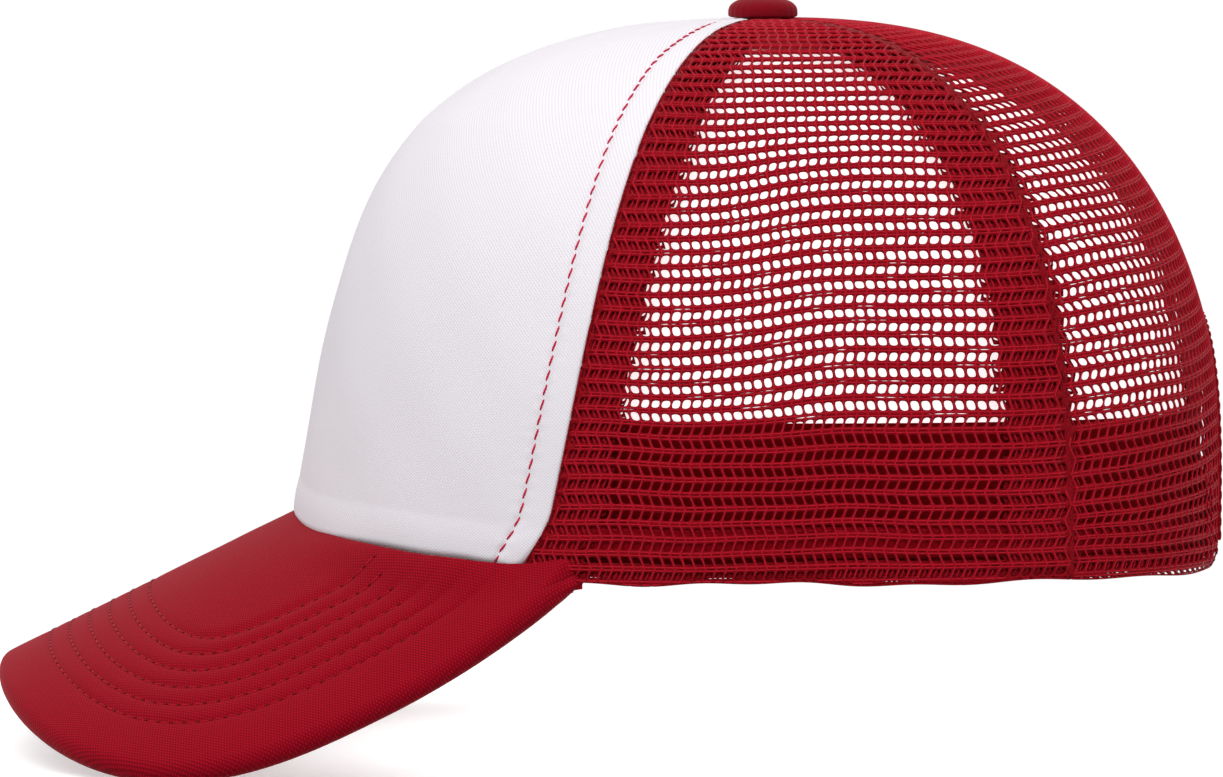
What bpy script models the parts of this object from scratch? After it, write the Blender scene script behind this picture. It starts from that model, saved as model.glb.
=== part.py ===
"""Five-panel trucker cap with a mesh back, a curved stitched bill and a snap strap.

Metres, +Z up. The origin is the centre of the head opening, on the plane of the crown's lower
edge, straight below the button. The bill points along -Y, and the wearer's left is +X.
An azimuth is measured round the crown from the front (0) past the wearer's left to the back.
"""

import functools
import math

import bmesh
import bpy
from mathutils import Matrix, Vector

# Crown, to its outer surface
CROWN_HALF_WIDTH = 0.081
CROWN_FRONT_REACH = 0.1045
CROWN_BACK_REACH = 0.1015
CROWN_HEIGHT = 0.117
PLAN_POWER_FRONT = 2.2
PLAN_POWER_BACK = 2.9
PROFILE_POWER = 2.6
FRONT_LEAN = 0.0042
FRONT_LEAN_HEIGHT = 0.095
CROWN_TOP_HOLE_RADIUS = 0.0045

# Seams between the panels
FRONT_SEAM_LOW_AZIMUTH = math.radians(56.5)
FRONT_SEAM_SWEEP = math.radians(10.5)
FRONT_SEAM_SWEEP_POWER = 0.78
SIDE_SEAM_AZIMUTH = math.radians(131.8)

# Layers of the crown
GAP = 0.0003
FACE_THICKNESS = 0.0008
FOAM_THICKNESS = 0.003
FOAM_GAP = 0.0005
MESH_THICKNESS = 0.0008
TAPE_THICKNESS = 0.0005
TAPE_GAP = 0.0005
TAPE_WIDTH = 0.014
FRONT_TAPE_LAP = 0.004
SIDE_TAPE_LAP = 0.0015
TAPE_TOP_RADIUS = 0.0265
HEM_TAPE_LOW = 0.0052
HEM_TAPE_HEIGHT = 0.0066
PANEL_TUCK = 0.0026
TUCK_FADE = math.radians(12)

# Sweatband
SWEATBAND_THICKNESS = 0.0012
SWEATBAND_HEIGHT = 0.033
SWEATBAND_LIFT = 0.0008
SWEATBAND_GAP = 0.0007
BAND_STEP_START = math.radians(50)
BAND_STEP_END = math.radians(74)

# Half-moon opening at the back
HALF_MOON_HALF_WIDTH = 0.0353
HALF_MOON_HEIGHT = 0.052
BINDING_RADIUS = 0.001

# Bill: a flat board bent on a cylinder that points forward and down
BILL_RADIUS = 0.109
BILL_SLOPE = math.radians(26.4)
BILL_ROOT = Vector((0, 0.0015 - CROWN_FRONT_REACH, 0.0078))
BILL_HALF_WIDTH = CROWN_HALF_WIDTH + 0.0152
BILL_WAIST = -0.003
BILL_REACH = 0.076
BILL_BACK_REACH = 0.121
BILL_FRONT_POWER = 2.8
BILL_CORNER_WIDTH = 0.0034
BILL_COVER_THICKNESS = 0.0006
BILL_WADDING_THICKNESS = 0.0006
BILL_BOARD_THICKNESS = 0.0016
BILL_UNDER_THICKNESS = 0.0005
BILL_EDGE_RADIUS = 0.0012
BILL_COLUMNS = 32
BILL_ROWS = 6
BILL_EDGE_ROWS = 3
BILL_END_TAPER = 0.8

# Button
BUTTON_RADIUS = 0.0076
BUTTON_HEIGHT = 0.0045
BUTTON_WALL = 0.0005
BUTTON_RIM = 0.0016
BUTTON_GAP = 0.0004
BUTTON_HEAD_RADIUS = 0.0045
BUTTON_HEAD_THICKNESS = 0.0008
POST_RADIUS = 0.0013
POST_TAIL_RADIUS = 0.0024
WASHER_RADIUS = 0.0085
WASHER_THICKNESS = 0.0008

# Snap strap
STRAP_THICKNESS = 0.0012
STRAP_LOW = 0.0035
STRAP_HEIGHT = 0.016
TAB_LENGTH = 0.0135
TAB_FLARE = 0.002
STRAP_JOGGLE_START = 0.002
STRAP_JOGGLE_LENGTH = 0.007
SNAPS_CLOSED = 5
SPARE_HOLES = 1
SNAP_PITCH = 0.0085
SNAP_END_MARGIN = 0.0052
HOLE_RADIUS = 0.002
STUD_RADIUS = 0.0016
STUD_PROUD = 0.0004
NOSE_ROUNDNESS = 0.93

WALK_STEP = math.radians(0.25)
LEFT = 1
RIGHT = -1


# ---------------------------------------------------------------- scene and materials


def clear_scene():
    for obj in list(bpy.data.objects):
        bpy.data.objects.remove(obj)


def collection(name):
    made = bpy.data.collections.new(name)
    bpy.context.scene.collection.children.link(made)
    return made


def material(name, colour, roughness, metallic=0.0):
    made = bpy.data.materials.new(name)
    made.use_nodes = True
    shader = made.node_tree.nodes["Principled BSDF"]
    shader.inputs["Base Color"].default_value = (*colour, 1)
    shader.inputs["Roughness"].default_value = roughness
    shader.inputs["Metallic"].default_value = metallic
    return made


# ---------------------------------------------------------------- shape of the crown


def smoothstep(low, high, value):
    share = min(1, max(0, (value - low) / (high - low)))
    return share * share * (3 - 2 * share)


def plan_radius(azimuth):
    """Distance from the crown's axis to its outer surface at the lower edge."""
    back_share = (1 - math.cos(azimuth)) / 2
    power = PLAN_POWER_FRONT + (PLAN_POWER_BACK - PLAN_POWER_FRONT) * back_share
    reach = CROWN_FRONT_REACH if math.cos(azimuth) > 0 else CROWN_BACK_REACH
    across = (abs(math.sin(azimuth)) / CROWN_HALF_WIDTH) ** power
    along = (abs(math.cos(azimuth)) / reach) ** power
    return (across + along) ** (-1 / power)


def crown_skin(azimuth, rise):
    """Outer surface at an azimuth, where rise goes from 0 at the lower edge to a right angle on top."""
    power = PROFILE_POWER
    size = (math.cos(rise) ** power + abs(math.sin(rise)) ** power) ** (-1 / power)
    radius = plan_radius(azimuth) * size * math.cos(rise)
    height = CROWN_HEIGHT * size * math.sin(rise)
    share = min(1, max(0, height / FRONT_LEAN_HEIGHT))
    lean = FRONT_LEAN * math.sin(math.pi * share) * max(0, math.cos(azimuth)) ** 2
    return Vector((radius * math.sin(azimuth), lean - radius * math.cos(azimuth), height))


def crown_normal(azimuth, rise):
    step = 1e-4
    around = crown_skin(azimuth + step, rise) - crown_skin(azimuth - step, rise)
    up = crown_skin(azimuth, rise + step) - crown_skin(azimuth, rise - step)
    return around.cross(up).normalized()


def crown_point(azimuth, rise, depth=0.0):
    """A point at a depth below the crown's outer surface."""
    return crown_skin(azimuth, rise) - depth * crown_normal(azimuth, rise)


def rise_at_height(height):
    share = height / CROWN_HEIGHT
    slope = share / (1 - abs(share) ** PROFILE_POWER) ** (1 / PROFILE_POWER)
    return math.atan(slope)


def rise_at_radius(radius):
    share = radius / CROWN_BACK_REACH
    slope = (1 - share**PROFILE_POWER) ** (1 / PROFILE_POWER) / share
    return math.atan(slope)


def ring_radius(azimuth, rise):
    point = crown_skin(azimuth, rise)
    return math.hypot(point.x, point.y)


def front_seam(rise):
    share = max(0, crown_skin(math.pi / 2, rise).z / CROWN_HEIGHT)
    return FRONT_SEAM_LOW_AZIMUTH + FRONT_SEAM_SWEEP * share**FRONT_SEAM_SWEEP_POWER


def side_seam(rise):
    return SIDE_SEAM_AZIMUTH


def back_seam(rise):
    return math.pi


def beside(seam, distance):
    """A line round the crown that keeps a distance along the surface from a seam."""

    def line(rise):
        azimuth = seam(rise)
        return azimuth + distance / ring_radius(azimuth, rise)

    return line


# ---------------------------------------------------------------- shape of the bill


def bill_point(across, forward, depth):
    """A point of the bent bill from its place on the flat board and its depth below the top."""
    angle = across / BILL_RADIUS
    radius = BILL_RADIUS - depth
    drop = BILL_RADIUS - radius * math.cos(angle)
    ahead = Vector((0, -math.cos(BILL_SLOPE), -math.sin(BILL_SLOPE)))
    down = Vector((0, math.sin(BILL_SLOPE), -math.cos(BILL_SLOPE)))
    side = Vector((1, 0, 0))
    return BILL_ROOT + ahead * forward + side * radius * math.sin(angle) + down * drop


def bill_place(x, y, depth):
    """The place on the flat board, and the height, of the bill's point at x and y."""
    angle = math.asin(x / (BILL_RADIUS - depth))
    drop = BILL_RADIUS - (BILL_RADIUS - depth) * math.cos(angle)
    forward = (BILL_ROOT.y - y + drop * math.sin(BILL_SLOPE)) / math.cos(BILL_SLOPE)
    across = BILL_RADIUS * angle
    return across, forward, bill_point(across, forward, depth).z


def bill_meets_crown(azimuth, depth):
    """Where a layer of the bill stops just outside the crown: place on the board, and height."""
    height = 0.0
    for _ in range(12):
        point = crown_point(azimuth, rise_at_height(height), -GAP)
        across, forward, height = bill_place(point.x, point.y, depth)
    return across, forward, height


def bill_edge_radius(angle):
    """The flat board's outer edge: its distance from the waist, by the angle from straight ahead."""
    ahead, aside = abs(math.cos(angle)), abs(math.sin(angle))
    if math.cos(angle) > 0:
        power, reach = BILL_FRONT_POWER, BILL_REACH
    else:
        power, reach = 2, BILL_BACK_REACH
    return ((ahead / reach) ** power + (aside / BILL_HALF_WIDTH) ** power) ** (-1 / power)


def bill_edge(angle, inset):
    """A point of the flat board at a distance inside its outer edge."""
    radius = bill_edge_radius(angle) - inset
    return radius * math.sin(angle), BILL_WAIST + radius * math.cos(angle)


def bill_corner(depth, inset):
    """Where a layer's inner and outer edges have come together: azimuth, and angle on the board."""
    low, high = math.radians(30), math.radians(88)
    for _ in range(20):
        azimuth = (low + high) / 2
        across, forward, _ = bill_meets_crown(azimuth, depth)
        angle = math.atan2(across, forward - BILL_WAIST)
        width = bill_edge_radius(angle) - inset - math.hypot(across, forward - BILL_WAIST)
        if width > BILL_CORNER_WIDTH:
            low = azimuth
        else:
            high = azimuth
    return azimuth, angle


@functools.cache
def top_corner():
    return bill_corner(0, 0)[0]


def crown_foot(azimuth):
    """Height of the crown's lower edge, which goes down behind the bill's inner edge."""
    corner = top_corner()
    _, _, top = bill_meets_crown(min(abs(azimuth), corner), 0)
    return (top - PANEL_TUCK) * (1 - smoothstep(corner, corner + TUCK_FADE, abs(azimuth)))


# ---------------------------------------------------------------- mesh helpers


def mapped_grid(name, group, columns, rows, place, thickness, finish):
    """A grid laid on a surface by place(u, v) and thickened inwards."""
    shape = bmesh.new()
    bmesh.ops.create_grid(shape, x_segments=columns, y_segments=rows, size=0.5)
    for vertex in shape.verts:
        u, v = vertex.co.x + 0.5, vertex.co.y + 0.5
        vertex.co = place(min(1, max(0, u)), min(1, max(0, v)))
    mesh = bpy.data.meshes.new(name)
    shape.to_mesh(mesh)
    shape.free()
    mesh.shade_smooth()
    mesh.materials.append(finish)
    obj = bpy.data.objects.new(name, mesh)
    group.objects.link(obj)
    solid = obj.modifiers.new("thickness", "SOLIDIFY")
    solid.thickness = thickness
    solid.offset = -1
    solid.use_even_offset = True
    return obj


def crown_patch(name, group, start, end, foot, top, depth, thickness, columns, rows, finish):
    """A piece of the crown between two lines round it, from a lower edge to an upper one."""

    def place(u, v):
        azimuth = start(0) + (end(0) - start(0)) * u
        low, high = foot(azimuth), top(azimuth)
        rise = low + (high - low) * v
        azimuth = start(rise) + (end(rise) - start(rise)) * u
        return crown_point(azimuth, rise, depth)

    return mapped_grid(name, group, columns, rows, place, thickness, finish)


def turned(name, group, profile, centre, steps, finish):
    """A turned piece: its closed profile of (radius, height) runs down the outer side."""
    mesh = bpy.data.meshes.new(name)
    points = [(radius, 0, height) for radius, height in profile]
    closed = [(i, (i + 1) % len(points)) for i in range(len(points))]
    on_axis = profile[0][0] == 0 and profile[-1][0] == 0
    mesh.from_pydata(points, closed[:-1] if on_axis else closed, [])
    mesh.materials.append(finish)
    obj = bpy.data.objects.new(name, mesh)
    obj.location = centre
    group.objects.link(obj)
    spin = obj.modifiers.new("turn", "SCREW")
    spin.steps = steps
    spin.render_steps = steps
    spin.use_merge_vertices = True
    spin.merge_threshold = 0.00001
    spin.use_smooth_shade = True
    return obj


def cut(obj, cutter, operation="DIFFERENCE"):
    tool = obj.modifiers.new(cutter.name, "BOOLEAN")
    tool.operation = operation
    tool.object = cutter
    tool.solver = "EXACT"


def hide(cutter):
    cutter.hide_render = True
    cutter.display_type = "WIRE"


# ---------------------------------------------------------------- crown pieces


def constant(value):
    return lambda azimuth: value


def foot_of_panels(azimuth):
    return rise_at_height(crown_foot(azimuth))


def top_of_panels(azimuth):
    return rise_at_radius(CROWN_TOP_HOLE_RADIUS)


def top_of_tapes(azimuth):
    return rise_at_radius(TAPE_TOP_RADIUS)


def top_of_foam(azimuth):
    return rise_at_radius(WASHER_RADIUS + TAPE_GAP)


def mirrored(line, side):
    return lambda rise: side * line(rise)


def in_order(side, first, second):
    """Two lines in the order that turns a piece's face outwards on either side."""
    lines = [mirrored(first, side), mirrored(second, side)]
    return lines if side == LEFT else lines[::-1]


def front_panel(group, cloth, foam):
    edge = beside(front_seam, -GAP / 2)
    crown_patch(
        "front_panel_face", group, mirrored(edge, RIGHT), edge, foot_of_panels, top_of_panels,
        0, FACE_THICKNESS, 20, 16, cloth,
    )
    foam_edge = beside(front_seam, -FRONT_TAPE_LAP - TAPE_GAP)
    crown_patch(
        "front_panel_foam", group, mirrored(foam_edge, RIGHT), foam_edge, foot_of_panels,
        top_of_foam, FACE_THICKNESS + FOAM_GAP, FOAM_THICKNESS, 20, 16, foam,
    )


def half_moon_cutter(group):
    """An upright elliptical prism through the crown's back, with room for the binding."""
    room = BINDING_RADIUS + GAP
    bpy.ops.mesh.primitive_cylinder_add(
        vertices=64, radius=1, depth=0.08,
        location=(0, CROWN_BACK_REACH, 0), rotation=(math.pi / 2, 0, 0),
    )
    cutter = bpy.context.active_object
    cutter.name = "half_moon_cutter"
    cutter.scale = (HALF_MOON_HALF_WIDTH + room, HALF_MOON_HEIGHT + room, 1)
    for owner in list(cutter.users_collection):
        owner.objects.unlink(cutter)
    group.objects.link(cutter)
    hide(cutter)
    return cutter


def mesh_panels(group, cutter, net):
    for side, word in ((LEFT, "left"), (RIGHT, "right")):
        start, end = in_order(side, beside(front_seam, GAP / 2), beside(side_seam, -GAP / 2))
        crown_patch(
            f"mesh_side_{word}", group, start, end, foot_of_panels, top_of_panels,
            0, MESH_THICKNESS, 12, 16, net,
        )
        start, end = in_order(side, beside(side_seam, GAP / 2), beside(back_seam, -GAP / 2))
        rear = crown_patch(
            f"mesh_rear_{word}", group, start, end, foot_of_panels, top_of_panels,
            0, MESH_THICKNESS, 10, 16, net,
        )
        cut(rear, cutter)


def seam_tapes(group, tape):
    """Each front and side tape lies mostly on the side panel, over the seam's folded edges."""
    depth = MESH_THICKNESS + TAPE_GAP
    low = rise_at_height(HEM_TAPE_LOW + HEM_TAPE_HEIGHT + TAPE_GAP)
    for side, word in ((LEFT, "left"), (RIGHT, "right")):
        for name, seam, first in (
            ("front", front_seam, -FRONT_TAPE_LAP),
            ("side", side_seam, SIDE_TAPE_LAP - TAPE_WIDTH),
        ):
            start, end = in_order(side, beside(seam, first), beside(seam, first + TAPE_WIDTH))
            crown_patch(
                f"{name}_seam_tape_{word}", group, start, end, constant(low), top_of_tapes,
                depth, TAPE_THICKNESS, 3, 15, tape,
            )
    over_arch = rise_at_height(HALF_MOON_HEIGHT + 2 * BINDING_RADIUS + TAPE_GAP)
    crown_patch(
        "back_seam_tape", group, beside(back_seam, -TAPE_WIDTH / 2),
        beside(back_seam, TAPE_WIDTH / 2), constant(over_arch), top_of_tapes,
        depth, TAPE_THICKNESS, 4, 12, tape,
    )


def hem_tapes(group, tape):
    """The tape inside the mesh along the lower edge, from the front seam to the strap's tab."""
    low, high = rise_at_height(HEM_TAPE_LOW), rise_at_height(HEM_TAPE_LOW + HEM_TAPE_HEIGHT)
    tab_end = back_azimuth(strap_root() + TAB_LENGTH + GAP)
    for side, word in ((LEFT, "left"), (RIGHT, "right")):
        near = beside(front_seam, -FRONT_TAPE_LAP)
        start, end = in_order(side, near, lambda rise: tab_end)
        crown_patch(
            f"hem_tape_{word}", group, start, end, constant(low), constant(high),
            MESH_THICKNESS + TAPE_GAP, TAPE_THICKNESS, 22, 1, tape,
        )


def band_depth(azimuth):
    """Depth of the sweatband's outer side: behind the foam in front, behind the tapes elsewhere."""
    behind_foam = FACE_THICKNESS + FOAM_GAP + FOAM_THICKNESS + SWEATBAND_GAP
    behind_tape = MESH_THICKNESS + TAPE_GAP + TAPE_THICKNESS + SWEATBAND_GAP
    share = smoothstep(BAND_STEP_START, BAND_STEP_END, abs(azimuth))
    return behind_foam + (behind_tape - behind_foam) * share


def sweatband(group, cloth):
    end = back_azimuth(strap_root() + TAB_LENGTH + SWEATBAND_GAP)

    def place(u, v):
        azimuth = -end + 2 * end * u
        foot = max(crown_foot(azimuth), 0) + SWEATBAND_LIFT
        rise = rise_at_height(foot + SWEATBAND_HEIGHT * v)
        return crown_point(azimuth, rise, band_depth(azimuth))

    mapped_grid("sweatband", group, 48, 3, place, SWEATBAND_THICKNESS, cloth)


def half_moon_binding(group, tape):
    """The tube of tape that binds the half-moon's edge, on the middle of the mesh."""
    line = bpy.data.curves.new("half_moon_binding", "CURVE")
    line.dimensions = "3D"
    line.bevel_depth = BINDING_RADIUS
    line.bevel_resolution = 2
    line.use_fill_caps = True
    spline = line.splines.new("POLY")
    count = 33
    spline.points.add(count - 1)
    lowest = math.asin(BINDING_RADIUS / HALF_MOON_HEIGHT)
    for i, point in enumerate(spline.points):
        angle = lowest + (math.pi - 2 * lowest) * i / (count - 1)
        x = HALF_MOON_HALF_WIDTH * math.cos(angle)
        z = HALF_MOON_HEIGHT * math.sin(angle)
        point.co = (*on_back(x, z, MESH_THICKNESS / 2), 1)
    line.materials.append(tape)
    group.objects.link(bpy.data.objects.new("half_moon_binding", line))


def on_back(x, height, depth):
    """The point of the crown's back at x and a height, at a depth below the surface."""
    rise = rise_at_height(height)
    azimuth = math.pi - x / CROWN_BACK_REACH
    for _ in range(12):
        azimuth -= (x - crown_point(azimuth, rise, depth).x) / CROWN_BACK_REACH
    return crown_point(azimuth, rise, depth)


# ---------------------------------------------------------------- bill pieces


def bill_layer(name, group, depth, thickness, inset, finish, skirt=0.0):
    """One layer of the bill. A skirt rounds the outer edge and goes down over the layers below."""
    rows = BILL_ROWS + BILL_EDGE_ROWS + 1 if skirt else BILL_ROWS
    bend = BILL_EDGE_RADIUS if skirt else 0.0
    corner, corner_angle = bill_corner(depth + thickness, inset + bend)

    def place(u, v):
        turn = 2 * u - 1
        across, forward, _ = bill_meets_crown(turn * corner, depth + thickness)
        edge_across, edge_forward = bill_edge(turn * corner_angle, inset + bend)
        row = round(v * rows)
        if row <= BILL_ROWS:
            share = row / BILL_ROWS
            across += (edge_across - across) * share
            forward += (edge_forward - forward) * share
            return bill_point(across, forward, depth)
        angle = min(1, (row - BILL_ROWS) / BILL_EDGE_ROWS) * math.pi / 2
        out_across, out_forward = bill_edge(
            turn * corner_angle, inset + bend * (1 - math.sin(angle))
        )
        below = depth + bend * (1 - math.cos(angle))
        if row == rows:
            thins = smoothstep(BILL_END_TAPER, 1, abs(turn))
            below += (skirt - below) * (1 - thins) + bend * thins
        return bill_point(out_across, out_forward, below)

    return mapped_grid(name, group, BILL_COLUMNS, rows, flipped(place), thickness, finish)


def flipped(place):
    """The same surface with its grid run backwards, which turns its face over."""
    return lambda u, v: place(1 - u, v)


def bill(group, cloth, wadding, board):
    wadding_depth = BILL_COVER_THICKNESS + GAP
    board_depth = wadding_depth + BILL_WADDING_THICKNESS + GAP
    under_depth = board_depth + BILL_BOARD_THICKNESS + GAP
    whole = under_depth + BILL_UNDER_THICKNESS
    inner = BILL_COVER_THICKNESS + GAP
    bill_layer("bill_top_cover", group, 0, BILL_COVER_THICKNESS, 0, cloth, skirt=whole)
    bill_layer("bill_wadding", group, wadding_depth, BILL_WADDING_THICKNESS, 3 * inner, wadding)
    bill_layer("bill_board", group, board_depth, BILL_BOARD_THICKNESS, 2 * inner, board)
    bill_layer("bill_under_cover", group, under_depth, BILL_UNDER_THICKNESS, 2 * inner, cloth)


# ---------------------------------------------------------------- button pieces


def dome(radius, height, foot, steps=5):
    """Points down the outside of a dome, from its top on the axis to its foot."""
    points = []
    for i in range(steps + 1):
        angle = math.pi / 2 * (1 - i / steps)
        points.append((radius * math.cos(angle) ** 0.8, foot + (height - foot) * math.sin(angle)))
    points[0] = (0, height)
    return points


def dome_shell(radius, height, wall, foot):
    """A closed profile of a dome that is open below, with a rim turned in at its foot."""
    outer = dome(radius, height, foot)
    inner = dome(radius - wall, height - wall, wall)
    rim = radius - BUTTON_RIM
    lip = [(radius - wall, 0), (rim, 0), (rim, wall)]
    return outer + lip + inner[::-1]


def button(group, cloth, metal):
    seat = Vector((0, 0, CROWN_HEIGHT + GAP))
    turned(
        "button_cover", group,
        dome_shell(BUTTON_RADIUS, BUTTON_HEIGHT, BUTTON_WALL, BUTTON_WALL), seat, 24, cloth,
    )
    inner_radius = BUTTON_RADIUS - BUTTON_WALL - BUTTON_GAP
    inner_height = BUTTON_HEIGHT - 2 * BUTTON_WALL - GAP - BUTTON_GAP
    turned(
        "button_shell", group,
        dome_shell(inner_radius, inner_height, BUTTON_WALL, 0),
        seat + Vector((0, 0, BUTTON_WALL + GAP)), 20, metal,
    )
    head_low = 2 * BUTTON_WALL + 2 * GAP
    washer_top = -GAP - MESH_THICKNESS - TAPE_GAP
    tail_top = washer_top - WASHER_THICKNESS - GAP
    tail_low = tail_top - BUTTON_HEAD_THICKNESS
    post = [
        (0, head_low + BUTTON_HEAD_THICKNESS),
        (BUTTON_HEAD_RADIUS, head_low + BUTTON_HEAD_THICKNESS),
        (BUTTON_HEAD_RADIUS, head_low),
        (POST_RADIUS, head_low),
        (POST_RADIUS, tail_top),
        (POST_TAIL_RADIUS, tail_top),
        (POST_TAIL_RADIUS, tail_low),
        (0, tail_low),
    ]
    turned("button_post", group, post, seat, 16, metal)
    bore = POST_RADIUS + GAP
    washer = [
        (WASHER_RADIUS, washer_top),
        (WASHER_RADIUS, washer_top - WASHER_THICKNESS),
        (bore, washer_top - WASHER_THICKNESS),
        (bore, washer_top),
    ]
    turned("button_washer", group, washer, seat, 24, metal)


# ---------------------------------------------------------------- snap strap


def back_azimuth(distance):
    """Azimuth of the point of the lower edge at a distance round it from the back's middle."""
    azimuth, walked = math.pi, 0.0
    here = crown_skin(azimuth, 0)
    while walked < distance:
        there = crown_skin(azimuth - WALK_STEP, 0)
        length = (there - here).length
        if walked + length > distance:
            return azimuth - WALK_STEP * (distance - walked) / length
        azimuth -= WALK_STEP
        walked += length
        here = there
    return azimuth


def strap_root():
    """Distance round the back from its middle to the strap's bend, clear of the bound edge."""
    strap_top = (STRAP_LOW + STRAP_HEIGHT) / HALF_MOON_HEIGHT
    point = HALF_MOON_HALF_WIDTH * math.sqrt(1 - strap_top**2) - BINDING_RADIUS - 2 * GAP
    azimuth, walked = math.pi, 0.0
    here = crown_skin(azimuth, 0)
    while here.x < point:
        azimuth -= WALK_STEP
        there = crown_skin(azimuth, 0)
        walked += (there - here).length
        here = there
    return walked


def strap_surface(distance, height, depth):
    """A point of a strap's layer, at a distance to the left round the back from its middle."""
    azimuth = math.copysign(back_azimuth(abs(distance)), distance)
    return crown_point(azimuth, rise_at_height(height), depth)


def strap_depth():
    return MESH_THICKNESS / 2 + BINDING_RADIUS + TAPE_GAP


def joggled(along):
    """Depth of the studded strap, which steps in to pass behind the other one."""
    step = STRAP_THICKNESS + GAP
    share = smoothstep(STRAP_JOGGLE_START, STRAP_JOGGLE_START + STRAP_JOGGLE_LENGTH, along)
    return strap_depth() + step * share


def tongue(name, group, side, depth_along, plastic):
    """A strap's free part. It starts beside the bound edge and crosses the back's middle."""
    root = strap_root() - GAP / 2
    length = root + (SNAPS_CLOSED - 1) / 2 * SNAP_PITCH + SNAP_END_MARGIN
    middle = STRAP_LOW + STRAP_HEIGHT / 2
    nose = STRAP_HEIGHT / 2

    def place(u, v):
        along = length * (1 - (1 - u) ** 1.25)
        from_nose = max(0, along - (length - nose)) / nose
        half = STRAP_HEIGHT / 2 * math.sqrt(1 - (NOSE_ROUNDNESS * from_nose) ** 2)
        height = middle + half * (2 * v - 1)
        return strap_surface(side * (root - along), height, depth_along(along))

    laid = flipped(place) if side == RIGHT else place
    return mapped_grid(name, group, 22, 2, laid, STRAP_THICKNESS, plastic)


def tab(name, group, side, plastic):
    """A strap's fixed end, which comes out from behind the mesh beside the opening."""
    root = strap_root() + GAP / 2

    def place(u, v):
        along = TAB_LENGTH * u
        flare = TAB_FLARE * u
        height = STRAP_LOW - flare + (STRAP_HEIGHT + 2 * flare) * v
        return strap_surface(side * (root + along), height, strap_depth())

    laid = flipped(place) if side == LEFT else place
    mapped_grid(name, group, 4, 2, laid, STRAP_THICKNESS, plastic)


def snap_rods(name, group, count, radius, outer, inner):
    """Short rods square to the strap, joined in one object, from the holed strap's nose on."""
    shape = bmesh.new()
    height = STRAP_LOW + STRAP_HEIGHT / 2
    for i in range(count):
        distance = (i - (SNAPS_CLOSED - 1) / 2) * SNAP_PITCH
        far = strap_surface(distance, height, outer)
        near = strap_surface(distance, height, inner)
        turn = (far - near).to_track_quat("Z", "Y").to_matrix().to_4x4()
        bmesh.ops.create_cone(
            shape, cap_ends=True, segments=16, radius1=radius, radius2=radius,
            depth=(far - near).length, matrix=Matrix.Translation((far + near) / 2) @ turn,
        )
    mesh = bpy.data.meshes.new(name)
    shape.to_mesh(mesh)
    shape.free()
    rods = bpy.data.objects.new(name, mesh)
    group.objects.link(rods)
    hide(rods)
    return rods


def on_joint_axis(obj, pivot):
    """Moves an object's origin to its joint's axis and leaves its shape where it is."""
    obj.data.transform(Matrix.Translation(-pivot))
    obj.location = pivot


def snap_strap(group, cutters, plastic):
    outer = strap_depth()
    through = 2 * STRAP_THICKNESS
    tab("strap_tab_left", group, LEFT, plastic)
    tab("strap_tab_right", group, RIGHT, plastic)
    holed = tongue("strap_holes", group, LEFT, lambda along: outer, plastic)
    cut(holed, snap_rods(
        "snap_holes", cutters, SNAPS_CLOSED + SPARE_HOLES, HOLE_RADIUS,
        outer - through, outer + through,
    ))
    studded = tongue("strap_studs", group, RIGHT, joggled, plastic)
    seat = outer + STRAP_THICKNESS + GAP
    cut(studded, snap_rods(
        "snap_studs", cutters, SNAPS_CLOSED, STUD_RADIUS,
        outer - STUD_PROUD, seat + STRAP_THICKNESS / 2,
    ), "UNION")
    edge = strap_root()
    on_joint_axis(holed, strap_surface(LEFT * edge, 0, outer))
    on_joint_axis(studded, strap_surface(RIGHT * edge, 0, outer + STRAP_THICKNESS))


# ---------------------------------------------------------------- the cap


def main():
    clear_scene()
    cap = collection("trucker_cap")
    cutters = collection("cutters")
    white_cloth = material("white_cloth", (0.83, 0.79, 0.84), 0.85)
    foam = material("foam", (0.86, 0.84, 0.8), 0.95)
    red_net = material("red_net", (0.27, 0.002, 0.01), 0.55)
    red_tape = material("red_tape", (0.2, 0.002, 0.006), 0.7)
    band_cloth = material("sweatband_cloth", (0.18, 0.002, 0.006), 0.8)
    red_cloth = material("red_cloth", (0.33, 0.006, 0.018), 0.75)
    board = material("board", (0.75, 0.75, 0.72), 0.5)
    plastic = material("strap_plastic", (0.3, 0.004, 0.012), 0.4)
    metal = material("button_metal", (0.6, 0.6, 0.6), 0.35, 1.0)

    front_panel(cap, white_cloth, foam)
    mesh_panels(cap, half_moon_cutter(cutters), red_net)
    seam_tapes(cap, red_tape)
    hem_tapes(cap, red_tape)
    half_moon_binding(cap, red_tape)
    sweatband(cap, band_cloth)
    bill(cap, red_cloth, foam, board)
    button(cap, red_cloth, metal)
    snap_strap(cap, cutters, plastic)


main()
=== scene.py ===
"""Looks of a five-panel trucker cap: a net back, a padded front panel, a stitched bill and a snap strap.

Metres, in the frame of the CAD model: +Z up through the button, the bill along -Y, the wearer's
left at +X. An azimuth runs from the front (0) past the wearer's left to the back (pi). On the
crown, s is the distance round it from a panel's middle line and t the distance up that line.
"""

import math

import bmesh
import bpy
import numpy as np
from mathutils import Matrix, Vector
from mathutils.bvhtree import BVHTree
from mathutils.kdtree import KDTree


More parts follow.
